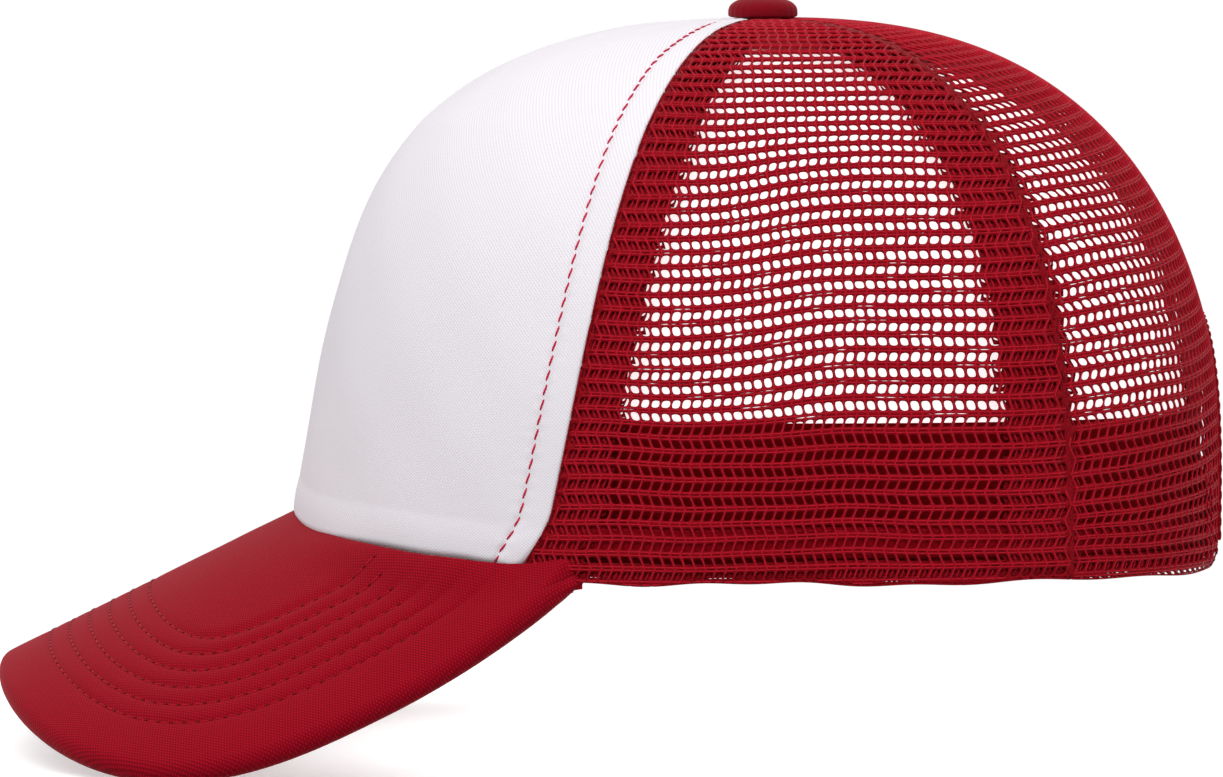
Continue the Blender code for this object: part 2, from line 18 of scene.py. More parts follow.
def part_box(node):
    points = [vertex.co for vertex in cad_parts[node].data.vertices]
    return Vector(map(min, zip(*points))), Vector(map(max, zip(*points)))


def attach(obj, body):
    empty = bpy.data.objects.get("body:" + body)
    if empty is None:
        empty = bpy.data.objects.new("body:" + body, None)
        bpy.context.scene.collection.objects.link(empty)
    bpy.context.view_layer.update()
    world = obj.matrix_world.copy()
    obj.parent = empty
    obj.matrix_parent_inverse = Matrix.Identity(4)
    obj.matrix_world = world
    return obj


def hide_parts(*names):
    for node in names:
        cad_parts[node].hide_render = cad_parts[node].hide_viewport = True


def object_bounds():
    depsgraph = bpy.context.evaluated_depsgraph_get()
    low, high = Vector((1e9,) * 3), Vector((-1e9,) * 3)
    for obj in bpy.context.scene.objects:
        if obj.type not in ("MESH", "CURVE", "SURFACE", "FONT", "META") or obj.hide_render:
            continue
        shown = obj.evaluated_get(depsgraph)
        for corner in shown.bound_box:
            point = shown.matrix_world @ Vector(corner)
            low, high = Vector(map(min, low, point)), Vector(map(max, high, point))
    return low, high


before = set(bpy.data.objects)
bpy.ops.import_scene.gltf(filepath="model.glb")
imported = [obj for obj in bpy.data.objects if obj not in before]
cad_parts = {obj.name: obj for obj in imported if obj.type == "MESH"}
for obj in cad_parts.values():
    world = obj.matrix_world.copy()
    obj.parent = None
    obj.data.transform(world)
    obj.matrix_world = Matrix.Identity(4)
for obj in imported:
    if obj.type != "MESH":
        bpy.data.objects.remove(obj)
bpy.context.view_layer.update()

MM = 0.001

# Crown, to its outer surface, as in the CAD model
CROWN_HALF_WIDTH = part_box("mesh_side_left")[1].x
CROWN_FRONT_REACH = 0.1045
CROWN_BACK_REACH = 0.1015
CROWN_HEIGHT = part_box("mesh_side_left")[1].z
PLAN_POWER_FRONT = 2.2
PLAN_POWER_BACK = 2.9
PROFILE_POWER = 2.6
FRONT_LEAN = 4.2 * MM
FRONT_LEAN_HEIGHT = 95 * MM
TOP_HOLE_RADIUS = 4.5 * MM
FRONT_SEAM_LOW_AZIMUTH = math.radians(56.5)
FRONT_SEAM_SWEEP = math.radians(10.5)
FRONT_SEAM_SWEEP_POWER = 0.78
SEAM_KICK = math.radians(2.4)
SEAM_KICK_HEIGHT = 15 * MM
SIDE_SEAM_AZIMUTH = math.radians(131.8)
BACK_AZIMUTH = math.pi
HALF_MOON_HALF_WIDTH = 35.3 * MM
HALF_MOON_HEIGHT = 52 * MM

# Bill, as in the CAD model
BILL_RADIUS = 109 * MM
BILL_SLOPE = math.radians(26.4)
BILL_ROOT = (0.0, 1.5 * MM - CROWN_FRONT_REACH, 7.8 * MM)
BILL_HALF_WIDTH = CROWN_HALF_WIDTH + 15.2 * MM
BILL_WAIST = -3 * MM
BILL_REACH = 76 * MM
BILL_BACK_REACH = 121 * MM
BILL_FRONT_POWER = 2.8
BILL_THICKNESS = 4.2 * MM

# Net
HOLE_PITCH = 2.3 * MM
ROW_PITCH = 3.15 * MM
HOLE_HALF_WIDTH = 0.84 * MM
HOLE_HALF_HEIGHT = 0.86 * MM
HOLE_SQUARENESS = 3.4
WALE_LEAN = 0.36 * MM
NET_THICKNESS = 0.34 * MM
NET_RELIEF = 0.12 * MM
CHAIN_RADIUS = 0.17 * MM
YARN_RADIUS = 0.16 * MM
YARN_SPREAD = 0.36 * MM


# ---------------------------------------------------------------- shape of the crown


def smoothstep(low, high, value):
    share = np.clip((value - low) / (high - low), 0, 1)
    return share * share * (3 - 2 * share)


def plan_radius(azimuth):
    back_share = (1 - np.cos(azimuth)) / 2
    power = PLAN_POWER_FRONT + (PLAN_POWER_BACK - PLAN_POWER_FRONT) * back_share
    reach = np.where(np.cos(azimuth) > 0, CROWN_FRONT_REACH, CROWN_BACK_REACH)
    across = (np.abs(np.sin(azimuth)) / CROWN_HALF_WIDTH) ** power
    along = (np.abs(np.cos(azimuth)) / reach) ** power
    return (across + along) ** (-1 / power)


def crown_skin(azimuth, rise):
    azimuth, rise = np.broadcast_arrays(np.asarray(azimuth, float), np.asarray(rise, float))
    power = PROFILE_POWER
    size = (np.cos(rise) ** power + np.abs(np.sin(rise)) ** power) ** (-1 / power)
    radius = plan_radius(azimuth) * size * np.cos(rise)
    height = CROWN_HEIGHT * size * np.sin(rise)
    share = np.clip(height / FRONT_LEAN_HEIGHT, 0, 1)
    lean = FRONT_LEAN * np.sin(np.pi * share) * np.maximum(0, np.cos(azimuth)) ** 2
    return np.stack([radius * np.sin(azimuth), lean - radius * np.cos(azimuth), height], -1)


def unit(vectors):
    return vectors / np.maximum(np.linalg.norm(vectors, axis=-1, keepdims=True), 1e-12)


def crown_normal(azimuth, rise):
    step = 1e-4
    around = crown_skin(azimuth + step, rise) - crown_skin(azimuth - step, rise)
    up = crown_skin(azimuth, rise + step) - crown_skin(azimuth, rise - step)
    return unit(np.cross(around, up))


def crown_point(azimuth, rise, proud=0.0):
    """Points that stand proud of the crown's surface by a distance, or lie below it."""
    return crown_skin(azimuth, rise) + np.asarray(proud)[..., None] * crown_normal(azimuth, rise)


def rise_at_height(height):
    share = np.asarray(height) / CROWN_HEIGHT
    return np.arctan(share / (1 - np.abs(share) ** PROFILE_POWER) ** (1 / PROFILE_POWER))


def rise_at_radius(radius):
    share = radius / CROWN_BACK_REACH
    return math.atan((1 - share**PROFILE_POWER) ** (1 / PROFILE_POWER) / share)


TOP_RISE = rise_at_radius(TOP_HOLE_RADIUS)


def front_seam(rise):
    share = np.maximum(0, crown_skin(math.pi / 2, rise)[..., 2] / CROWN_HEIGHT)
    kick = SEAM_KICK * (1 - smoothstep(0, SEAM_KICK_HEIGHT / CROWN_HEIGHT, share))
    return FRONT_SEAM_LOW_AZIMUTH + FRONT_SEAM_SWEEP * share**FRONT_SEAM_SWEEP_POWER - kick


def side_seam(rise):
    return SIDE_SEAM_AZIMUTH + 0 * rise


def back_seam(rise):
    return BACK_AZIMUTH + 0 * rise


def ring_radius(azimuth, rise):
    point = crown_skin(azimuth, rise)
    return np.hypot(point[..., 0], point[..., 1])


class Panel:
    """A panel of the crown between two seams, with s and t measured on it."""

    def __init__(self, start, end):
        self.start, self.end = start, end
        self.middle = float(start(0.0) + end(0.0)) / 2
        self.rises = np.linspace(rise_at_height(-6 * MM), TOP_RISE, 160)
        line = crown_skin(self.middle, self.rises)
        steps = np.linalg.norm(np.diff(line, axis=0), axis=1)
        self.ups = np.concatenate([[0], np.cumsum(steps)])
        self.ups -= np.interp(0, self.rises, self.ups)
        around = self.middle + np.linspace(-0.5, 0.5, 41) * (end(0.0) - start(0.0))
        ring = crown_skin(around[None, :], self.rises[:, None])
        lengths = np.linalg.norm(np.diff(ring, axis=1), axis=2).sum(1)
        self.spans = lengths / (around[-1] - around[0])

    def angles(self, s, t):
        rise = np.interp(t, self.ups, self.rises)
        return self.middle + s / np.interp(rise, self.rises, self.spans), rise

    def half_width(self):
        return float(self.end(0.0) - self.start(0.0)) / 2 * self.spans.max()

    def from_start(self, azimuth, rise):
        """Distance from the panel's front seam."""
        return (azimuth - self.start(rise)) * np.interp(rise, self.rises, self.spans)

    def from_end(self, azimuth, rise):
        return (self.end(rise) - azimuth) * np.interp(rise, self.rises, self.spans)


# ---------------------------------------------------------------- shape of the bill


def bill_point(across, forward, depth):
    angle = across / BILL_RADIUS
    radius = BILL_RADIUS - depth
    drop = BILL_RADIUS - radius * np.cos(angle)
    x = BILL_ROOT[0] + radius * np.sin(angle)
    y = BILL_ROOT[1] - forward * math.cos(BILL_SLOPE) + drop * math.sin(BILL_SLOPE)
    z = BILL_ROOT[2] - forward * math.sin(BILL_SLOPE) - drop * math.cos(BILL_SLOPE)
    return np.stack(np.broadcast_arrays(x, y, z), -1)


def bill_meets_crown(azimuth, depth, proud):
    """Where a layer of the bill meets the crown: its place on the flat board, and its height."""
    height = np.zeros_like(azimuth)
    for _ in range(14):
        point = crown_point(azimuth, rise_at_height(height), np.full_like(azimuth, proud))
        angle = np.arcsin(point[..., 0] / (BILL_RADIUS - depth))
        drop = BILL_RADIUS - (BILL_RADIUS - depth) * np.cos(angle)
        forward = (BILL_ROOT[1] - point[..., 1] + drop * math.sin(BILL_SLOPE)) / math.cos(BILL_SLOPE)
        across = BILL_RADIUS * angle
        height = bill_point(across, forward, depth)[..., 2]
    return across, forward, height


def bill_edge_radius(angle):
    ahead, aside = np.abs(np.cos(angle)), np.abs(np.sin(angle))
    power = np.where(np.cos(angle) > 0, BILL_FRONT_POWER, 2)
    reach = np.where(np.cos(angle) > 0, BILL_REACH, BILL_BACK_REACH)
    return ((ahead / reach) ** power + (aside / BILL_HALF_WIDTH) ** power) ** (-1 / power)


# ---------------------------------------------------------------- making meshes


def new_object(name, points, faces, finish, weave=None, smooth=True):
    mesh = bpy.data.meshes.new(name)
    mesh.from_pydata(np.asarray(points).reshape(-1, 3).tolist(), [], [list(f) for f in faces])
    if weave is not None:
        flat = np.zeros((len(mesh.vertices), 3), np.float32)
        flat[:, :2] = np.asarray(weave).reshape(-1, 2)
        made = mesh.attributes.new("weave", "FLOAT_VECTOR", "POINT")
        made.data.foreach_set("vector", flat.ravel())
    mesh.materials.append(finish)
    if smooth:
        mesh.shade_smooth()
    obj = bpy.data.objects.new(name, mesh)
    bpy.context.scene.collection.objects.link(obj)
    return obj


def grid_faces(rows, columns, flip=False):
    """Quads over a grid of points with that many rows and columns."""
    index = np.arange(rows * columns).reshape(rows, columns)
    quads = np.stack(
        [index[:-1, :-1], index[:-1, 1:], index[1:, 1:], index[1:, :-1]], -1
    ).reshape(-1, 4)
    return quads[:, ::-1] if flip else quads


def ring_faces(rows, columns):
    """Quads over closed rings of points, one ring to a row."""
    index = np.arange(rows * columns).reshape(rows, columns)
    inner, outer = index[:-1], index[1:]
    return np.stack([inner, outer, np.roll(outer, -1, 1), np.roll(inner, -1, 1)], -1).reshape(-1, 4)


def thicken(obj, thickness):
    solid = obj.modifiers.new("thickness", "SOLIDIFY")
    solid.thickness = thickness
    solid.offset = -1
    solid.use_even_offset = False
    return obj


def tubes(centres, outward, radii, sides):
    """Closed tubes along rows of centres, all with as many points. Returns vertices and faces."""
    centres = np.asarray(centres, float)
    count, length = centres.shape[:2]
    along = unit(np.gradient(centres, axis=1))
    side = unit(np.cross(along, outward))
    up = np.cross(side, along)
    turn = np.arange(sides) * 2 * math.pi / sides
    spokes = side[:, :, None] * np.cos(turn)[:, None] + up[:, :, None] * np.sin(turn)[:, None]
    radii = np.broadcast_to(radii, (count, length))
    points = centres[:, :, None] + radii[:, :, None, None] * spokes
    index = np.arange(count * length * sides).reshape(count, length, sides)
    here, there = index[:, :-1], index[:, 1:]
    walls = np.stack([here, np.roll(here, -1, 2), np.roll(there, -1, 2), there], -1)
    caps = np.concatenate([index[:, 0, ::-1], index[:, -1]])
    return points.reshape(-1, 3), walls.reshape(-1, 4), caps


def tube_object(name, groups, sides, finish):
    """One object of many tubes. Each group is (centres, outward, radii)."""
    points, faces, start = [], [], 0
    for centres, outward, radii in groups:
        made, walls, caps = tubes(centres, outward, radii, sides)
        points.append(made)
        faces += (walls + start).tolist() + (caps + start).tolist()
        start += len(made)
    return new_object(name, np.concatenate(points), faces, finish)


def mirrored(obj, name):
    """The same piece on the wearer's other side."""
    twin = obj.copy()
    twin.data = obj.data.copy()
    twin.name = name
    twin.data.name = name
    flat = np.empty(len(twin.data.vertices) * 3, np.float32)
    twin.data.vertices.foreach_get("co", flat)
    flat[::3] *= -1
    twin.data.vertices.foreach_set("co", flat)
    twin.data.flip_normals()
    bpy.context.scene.collection.objects.link(twin)
    return twin


def settle(obj, slot, *nodes, body="cap"):
    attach(obj, body)
    if nodes:
        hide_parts(*nodes)
    return obj


# ---------------------------------------------------------------- stitches

# Length, gap and thread radius of each kind of stitch
TAPE_STITCH = (2.2 * MM, 0.8 * MM, 0.16 * MM)
BINDING_STITCH = (2.2 * MM, 0.7 * MM, 0.16 * MM)
LONG_STITCH = (2.4 * MM, 0.8 * MM, 0.18 * MM)
TAB_STITCH = (2.0 * MM, 0.7 * MM, 0.24 * MM)
NEEDLE_DENT_SHADE = (0.8 * MM, 2.4 * MM, 0.26 * MM)
NEEDLE_DENT_SHADE_START = 2.3 * MM


def stitches(path, outward, length, gap, radius, sink=0.5, slant=0.0, start=0.0):
    """Single stitches along a path of points, each one dipping into the cloth at its ends."""
    steps = np.linalg.norm(np.diff(path, axis=0), axis=1)
    walked = np.concatenate([[0], np.cumsum(steps)])
    starts = np.arange(start, walked[-1] - length, length + gap)
    share = np.array([0, 0.14, 0.34, 0.66, 0.86, 1])
    places = starts[:, None] + share * length
    centres = np.stack([np.interp(places, walked, path[:, k]) for k in range(3)], -1)
    normals = unit(np.stack([np.interp(places, walked, outward[:, k]) for k in range(3)], -1))
    across = unit(np.cross(np.gradient(centres, axis=1), normals))
    centres = centres + across * (slant * np.sin((share - 0.5) * math.pi))[:, None]
    lift = radius * np.array([-1.6, 0.1, sink, sink, 0.1, -1.6])
    thickness = radius * np.array([0.55, 0.9, 1, 1, 0.9, 0.55])
    return centres + normals * lift[:, None], normals, np.broadcast_to(thickness, places.shape)


# ---------------------------------------------------------------- materials


class Finish:
    """A node material. Sockets that are the same all over are set on the shader itself."""

    def __init__(self, name, roughness, sheen=0.0, metallic=0.0, specular=0.2, tint=(1, 1, 1)):
        self.material = bpy.data.materials.new(name)
        self.material.use_nodes = True
        self.tree = self.material.node_tree
        self.shader = self.tree.nodes["Principled BSDF"]
        self.shader.inputs["Roughness"].default_value = roughness
        self.shader.inputs["Metallic"].default_value = metallic
        self.shader.inputs["Specular IOR Level"].default_value = specular
        self.shader.inputs["Sheen Weight"].default_value = sheen
        self.shader.inputs["Sheen Roughness"].default_value = 0.4
        self.shader.inputs["Sheen Tint"].default_value = (*tint, 1)
        self.shader.inputs["Specular Tint"].default_value = (*tint, 1)

    def node(self, kind, **values):
        made = self.tree.nodes.new(kind)
        for key, value in values.items():
            setattr(made, key, value)
        return made

    def link(self, source, target):
        self.tree.links.new(source, target)

    def math(self, operation, first, second=0.0):
        made = self.node("ShaderNodeMath", operation=operation)
        for socket, value in zip(made.inputs, (first, second)):
            if isinstance(value, (int, float)):
                socket.default_value = value
            else:
                self.link(value, socket)
        return made.outputs[0]

    def object_place(self):
        return self.node("ShaderNodeTexCoord").outputs["Object"]

    def weave_place(self):
        return self.node("ShaderNodeAttribute", attribute_name="weave").outputs["Vector"]

    def noise(self, place, size, detail=3.0):
        made = self.node("ShaderNodeTexNoise")
        made.inputs["Scale"].default_value = 1 / size
        made.inputs["Detail"].default_value = detail
        self.link(place, made.inputs["Vector"])
        return made.outputs["Fac"]

    def stripes(self, coordinate, pitch, phase=0.0):
        """A sine from 0 to 1 along one coordinate."""
        turned = self.math("MULTIPLY_ADD", coordinate, 2 * math.pi / pitch)
        turned.node.inputs[2].default_value = phase
        return self.half(self.math("SINE", turned))

    def half(self, value):
        made = self.math("MULTIPLY_ADD", value, 0.5)
        made.node.inputs[2].default_value = 0.5
        return made

    def split(self, place):
        made = self.node("ShaderNodeSeparateXYZ")
        self.link(place, made.inputs[0])
        return made.outputs

    def ramp(self, factor, stops):
        """A colour from a factor. Stops are (position, colour)."""
        made = self.node("ShaderNodeValToRGB")
        ramp = made.color_ramp
        while len(ramp.elements) < len(stops):
            ramp.elements.new(0.5)
        for element, (position, colour) in zip(ramp.elements, stops):
            element.position = position
            element.color = (*colour, 1)
        self.link(factor, made.inputs["Fac"])
        return made.outputs["Color"]

    def mix(self, factor, first, second):
        made = self.node("ShaderNodeMix", data_type="RGBA", blend_type="MIX")
        for socket, value in ((made.inputs[0], factor), (made.inputs[6], first), (made.inputs[7], second)):
            if isinstance(value, (int, float)):
                socket.default_value = value
            elif isinstance(value, tuple):
                socket.default_value = (*value, 1)
            else:
                self.link(value, socket)
        return made.outputs[2]

    def worn(self, shade, pattern, share, other):
        """Lets another shade through where a pattern is strong."""
        return self.mix(self.math("MULTIPLY", pattern, share), shade, other)

    def colour(self, output):
        self.link(output, self.shader.inputs["Base Color"])

    def bump(self, heights):
        """Bumps on bumps. Heights are (output, strength, distance)."""
        last = None
        for output, strength, distance in heights:
            made = self.node("ShaderNodeBump")
            made.inputs["Strength"].default_value = strength
            made.inputs["Distance"].default_value = distance
            self.link(output, made.inputs["Height"])
            if last is not None:
                self.link(last, made.inputs["Normal"])
            last = made.outputs["Normal"]
        self.link(last, self.shader.inputs["Normal"])


def tinted(colour, amount):
    return tuple(min(1.0, channel * amount) for channel in colour)


def glow_of(colour):
    """The colour of the light that dyed fibres scatter: their own, a little paler."""
    strongest = max(colour)
    return tuple(0.12 + 0.88 * channel / strongest for channel in colour)


def knit(name, colour, pitch, dot_shade, roughness, sheen, blotch=0.06):
    """A fine knit: staggered dots between its loops, darkened as painted shade, soft blotches and a little
    fuzz.
    """
    finish = Finish(name, roughness, sheen)
    place = finish.weave_place()
    x, y, _ = finish.split(place)
    across = finish.stripes(x, pitch)
    along = finish.stripes(y, pitch * 0.8)
    across_off = finish.stripes(x, pitch, math.pi)
    along_off = finish.stripes(y, pitch * 0.8, math.pi)
    dots = finish.math(
        "MAXIMUM", finish.math("MULTIPLY", across, along), finish.math("MULTIPLY", across_off, along_off)
    )
    fuzz = finish.noise(place, 0.25 * MM, 2.0)
    patches = finish.noise(place, 9 * MM, 3.0)
    sharp = finish.math("POWER", dots, 3.0)
    # Painted shade: the dots, which the bump sinks as pits, are darkened in the colour.
    shade = finish.ramp(sharp, [(0, colour), (1, tinted(colour, 1 - dot_shade))])
    shade = finish.worn(shade, fuzz, 0.35, tinted(colour, 1 - dot_shade * 0.8))
    shade = finish.mix(finish.math("MULTIPLY", patches, blotch * 4), shade, tinted(colour, 1 - blotch * 2))
    finish.colour(shade)
    finish.bump([(sharp, 0.35, -0.06 * MM), (fuzz, 0.25, 0.05 * MM), (patches, 0.2, 0.3 * MM)])
    return finish.material


def twill(name, colour, pitch, roughness, sheen, depth=0.35):
    """A close weave with fine slanted ribs, painted darker in their grooves (painted shade) and lighter on
    their tops (painted highlight).
    """
    finish = Finish(name, roughness, sheen, tint=glow_of(colour))
    place = finish.weave_place()
    x, y, _ = finish.split(place)
    slant = finish.math("ADD", x, finish.math("MULTIPLY", y, 0.9))
    ribs = finish.stripes(slant, pitch)
    picks = finish.stripes(finish.math("SUBTRACT", y, finish.math("MULTIPLY", x, 0.35)), pitch * 0.8)
    cloth = finish.math("MULTIPLY", ribs, picks)
    fuzz = finish.noise(place, 0.3 * MM, 2.0)
    patches = finish.noise(place, 12 * MM, 3.0)
    # Painted shade in the ribs' grooves and a painted highlight on their tops, by depth either way.
    stops = [(0, tinted(colour, 1 - depth)), (0.6, colour), (1, tinted(colour, 1 + depth))]
    shade = finish.ramp(cloth, stops)
    shade = finish.worn(shade, fuzz, 0.4, tinted(colour, 0.7))
    shade = finish.worn(shade, patches, 0.35, tinted(colour, 0.78))
    finish.colour(shade)
    finish.bump([(cloth, 0.4, 0.07 * MM), (fuzz, 0.3, 0.06 * MM), (patches, 0.15, 0.4 * MM)])
    return finish.material


def yarn(name, colour, roughness=0.5, sheen=0.25, pitch=0.45 * MM):
    """Twisted or bundled thread: fine strands, painted lighter where they stand up (painted highlight, the
    glints) and darker between them (painted shade).
    """
    finish = Finish(name, roughness, sheen, specular=0.35, tint=glow_of(colour))
    place = finish.object_place()
    fuzz = finish.noise(place, pitch, 3.0)
    patches = finish.noise(place, 6 * MM, 3.0)
    # Painted highlight on the raised strands and painted shade between them.
    shade = finish.ramp(fuzz, [(0.25, tinted(colour, 0.62)), (0.55, colour), (0.8, tinted(colour, 1.5))])
    shade = finish.worn(shade, patches, 0.3, tinted(colour, 0.72))
    finish.colour(shade)
    finish.bump([(fuzz, 0.5, 0.08 * MM)])
    return finish.material


def net_cloth(name, colour):
    """Polyester net: parallel yarns along its rows, with painted shade in the slits between them and a
    painted highlight on the yarns.
    """
    finish = Finish(name, 0.55, 0.15, specular=0.3, tint=glow_of(colour))
    place = finish.weave_place()
    x, y, _ = finish.split(place)
    yarns = finish.stripes(y, ROW_PITCH / 8)
    loops = finish.stripes(finish.math("ADD", x, finish.math("MULTIPLY", y, 0.5)), HOLE_PITCH / 4)
    slit = finish.math("MULTIPLY", yarns, finish.half(loops))
    fuzz = finish.noise(place, 0.4 * MM, 2.0)
    patches = finish.noise(place, 7 * MM, 3.0)
    # Painted shade in the slits between the yarns and a painted highlight on the yarns' tops.
    shade = finish.ramp(slit, [(0.1, tinted(colour, 0.5)), (0.5, colour), (1, tinted(colour, 1.3))])
    shade = finish.worn(shade, fuzz, 0.4, tinted(colour, 0.65))
    shade = finish.worn(shade, patches, 0.35, tinted(colour, 0.7))
    finish.colour(shade)
    finish.bump([(slit, 0.6, 0.12 * MM), (fuzz, 0.3, 0.08 * MM)])
    return finish.material


def foam_finish(name, colour):
    finish = Finish(name, 0.95, 0.1)
    place = finish.object_place()
    cells = finish.node("ShaderNodeTexVoronoi")
    cells.inputs["Scale"].default_value = 1 / (0.7 * MM)
    finish.link(place, cells.inputs["Vector"])
    distance = cells.outputs["Distance"]
    patches = finish.noise(place, 15 * MM)
    # Painted shade: the cells' centres, which the bump sinks as pits, are darkened in the colour.
    shade = finish.ramp(distance, [(0.0, tinted(colour, 0.75)), (0.5, colour)])
    shade = finish.worn(shade, patches, 0.3, tinted(colour, 0.88))
    finish.colour(shade)
    finish.bump([(distance, 0.6, 0.25 * MM)])
    return finish.material


def plastic(name, colour, roughness):
    finish = Finish(name, roughness, specular=0.5)
    place = finish.object_place()
    grain = finish.noise(place, 0.35 * MM, 2.0)
    patches = finish.noise(place, 10 * MM)
    shade = finish.mix(finish.math("MULTIPLY", patches, 0.25), colour, tinted(colour, 0.8))
    finish.colour(shade)
    finish.bump([(grain, 0.25, 0.03 * MM)])
    return finish.material


def metal(name, colour):
    finish = Finish(name, 0.35, metallic=1.0)
    place = finish.object_place()
    scratches = finish.noise(place, 0.8 * MM, 4.0)
    shade = finish.ramp(scratches, [(0.3, tinted(colour, 0.75)), (0.7, colour)])
    finish.colour(shade)
    finish.bump([(scratches, 0.15, 0.03 * MM)])
    return finish.material


NET_RED = (0.265, 0.0012, 0.007)
CHAIN_RED = (0.42, 0.005, 0.018)
TAPE_RED = (0.26, 0.0012, 0.006)
BAND_RED = (0.27, 0.001, 0.005)
BILL_RED = (0.33, 0.0025, 0.013)
THREAD_RED = (0.33, 0.003, 0.012)
SEAM_THREAD_RED = (0.5, 0.008, 0.05)
WHITE = (0.80, 0.765, 0.81)

net_finish = net_cloth("red_net", NET_RED)
# The folded-back inner layer is the same net at 0.8 of its red: painted shade.
shaded_net_finish = net_cloth("red_net_inside", tinted(NET_RED, 0.8))
chain_finish = yarn("red_net_chain", CHAIN_RED)
tape_finish = twill("red_tape", TAPE_RED, 0.5 * MM, 0.7, 0.2)
hem_finish = twill("red_hem_tape", tinted(NET_RED, 1.05), 0.5 * MM, 0.7, 0.2)
band_finish = twill("red_sweatband_cloth", BAND_RED, 0.6 * MM, 0.85, 0.3)
bill_finish = twill("red_bill_cloth", BILL_RED, 0.82 * MM, 0.75, 0.25, 0.6)
thread_finish = yarn("red_thread", THREAD_RED, pitch=0.3 * MM)
# The needle dents' colour, the bill's red at 0.3: painted shade standing for the dents.
dent_shade_finish = yarn("red_needle_mark", tinted(BILL_RED, 0.3))
seam_thread_finish = yarn("red_seam_thread", SEAM_THREAD_RED, pitch=0.3 * MM)
white_finish = knit("white_knit", WHITE, 0.85 * MM, 0.38, 0.85, 0.1, 0.02)
foam_material = foam_finish("foam", (0.78, 0.75, 0.7))
board_finish = plastic("board", (0.7, 0.7, 0.67), 0.5)
strap_finish = plastic("strap_plastic", (0.3, 0.004, 0.012), 0.38)
metal_finish = metal("button_metal", (0.62, 0.62, 0.62))


# ---------------------------------------------------------------- net


def wobble(s, t, seed):
    """Soft unevenness of the net's rows, from a few slow waves."""
    draws = np.random.default_rng(seed).uniform(0, 2 * math.pi, 8)
    first = np.sin(s / (9.5 * MM) + draws[0] + 0.8 * np.sin(t / (14 * MM) + draws[1]))
    second = np.sin(s / (4.1 * MM) + draws[2] + t / (23 * MM))
    third = np.sin(s / (21 * MM) + draws[3] + t / (6.5 * MM))
    return 0.24 * MM * first + 0.09 * MM * second + 0.22 * MM * third


def zigzag(t, row_start):
    """The wales' swing from side to side with height, from -1 to 1. It turns at each row."""
    cycle = (t - row_start) / (2 * ROW_PITCH)
    return 4 * np.abs(cycle - np.floor(cycle + 0.5)) - 1


SLIT_POINTS = [1, 2, 7, 8]
SLIT_SIDES = np.array([-1, -1, 1, 1])
SLIT_HALF_HEIGHT = 0.13 * MM
WIDE_WALE_LEAN = 0.62 * MM


def round_hole():
    """The cell's border and the hole's edge: twelve points each, in units of half a cell."""
    third = 1 / 3
    border = np.array([
        (-1, -1), (-third, -1), (third, -1), (1, -1), (1, -third), (1, third),
        (1, 1), (third, 1), (-third, 1), (-1, 1), (-1, third), (-1, -third),
    ])
    size = (np.abs(border) ** HOLE_SQUARENESS).sum(1, keepdims=True) ** (-1 / HOLE_SQUARENESS)
    return border, border * size


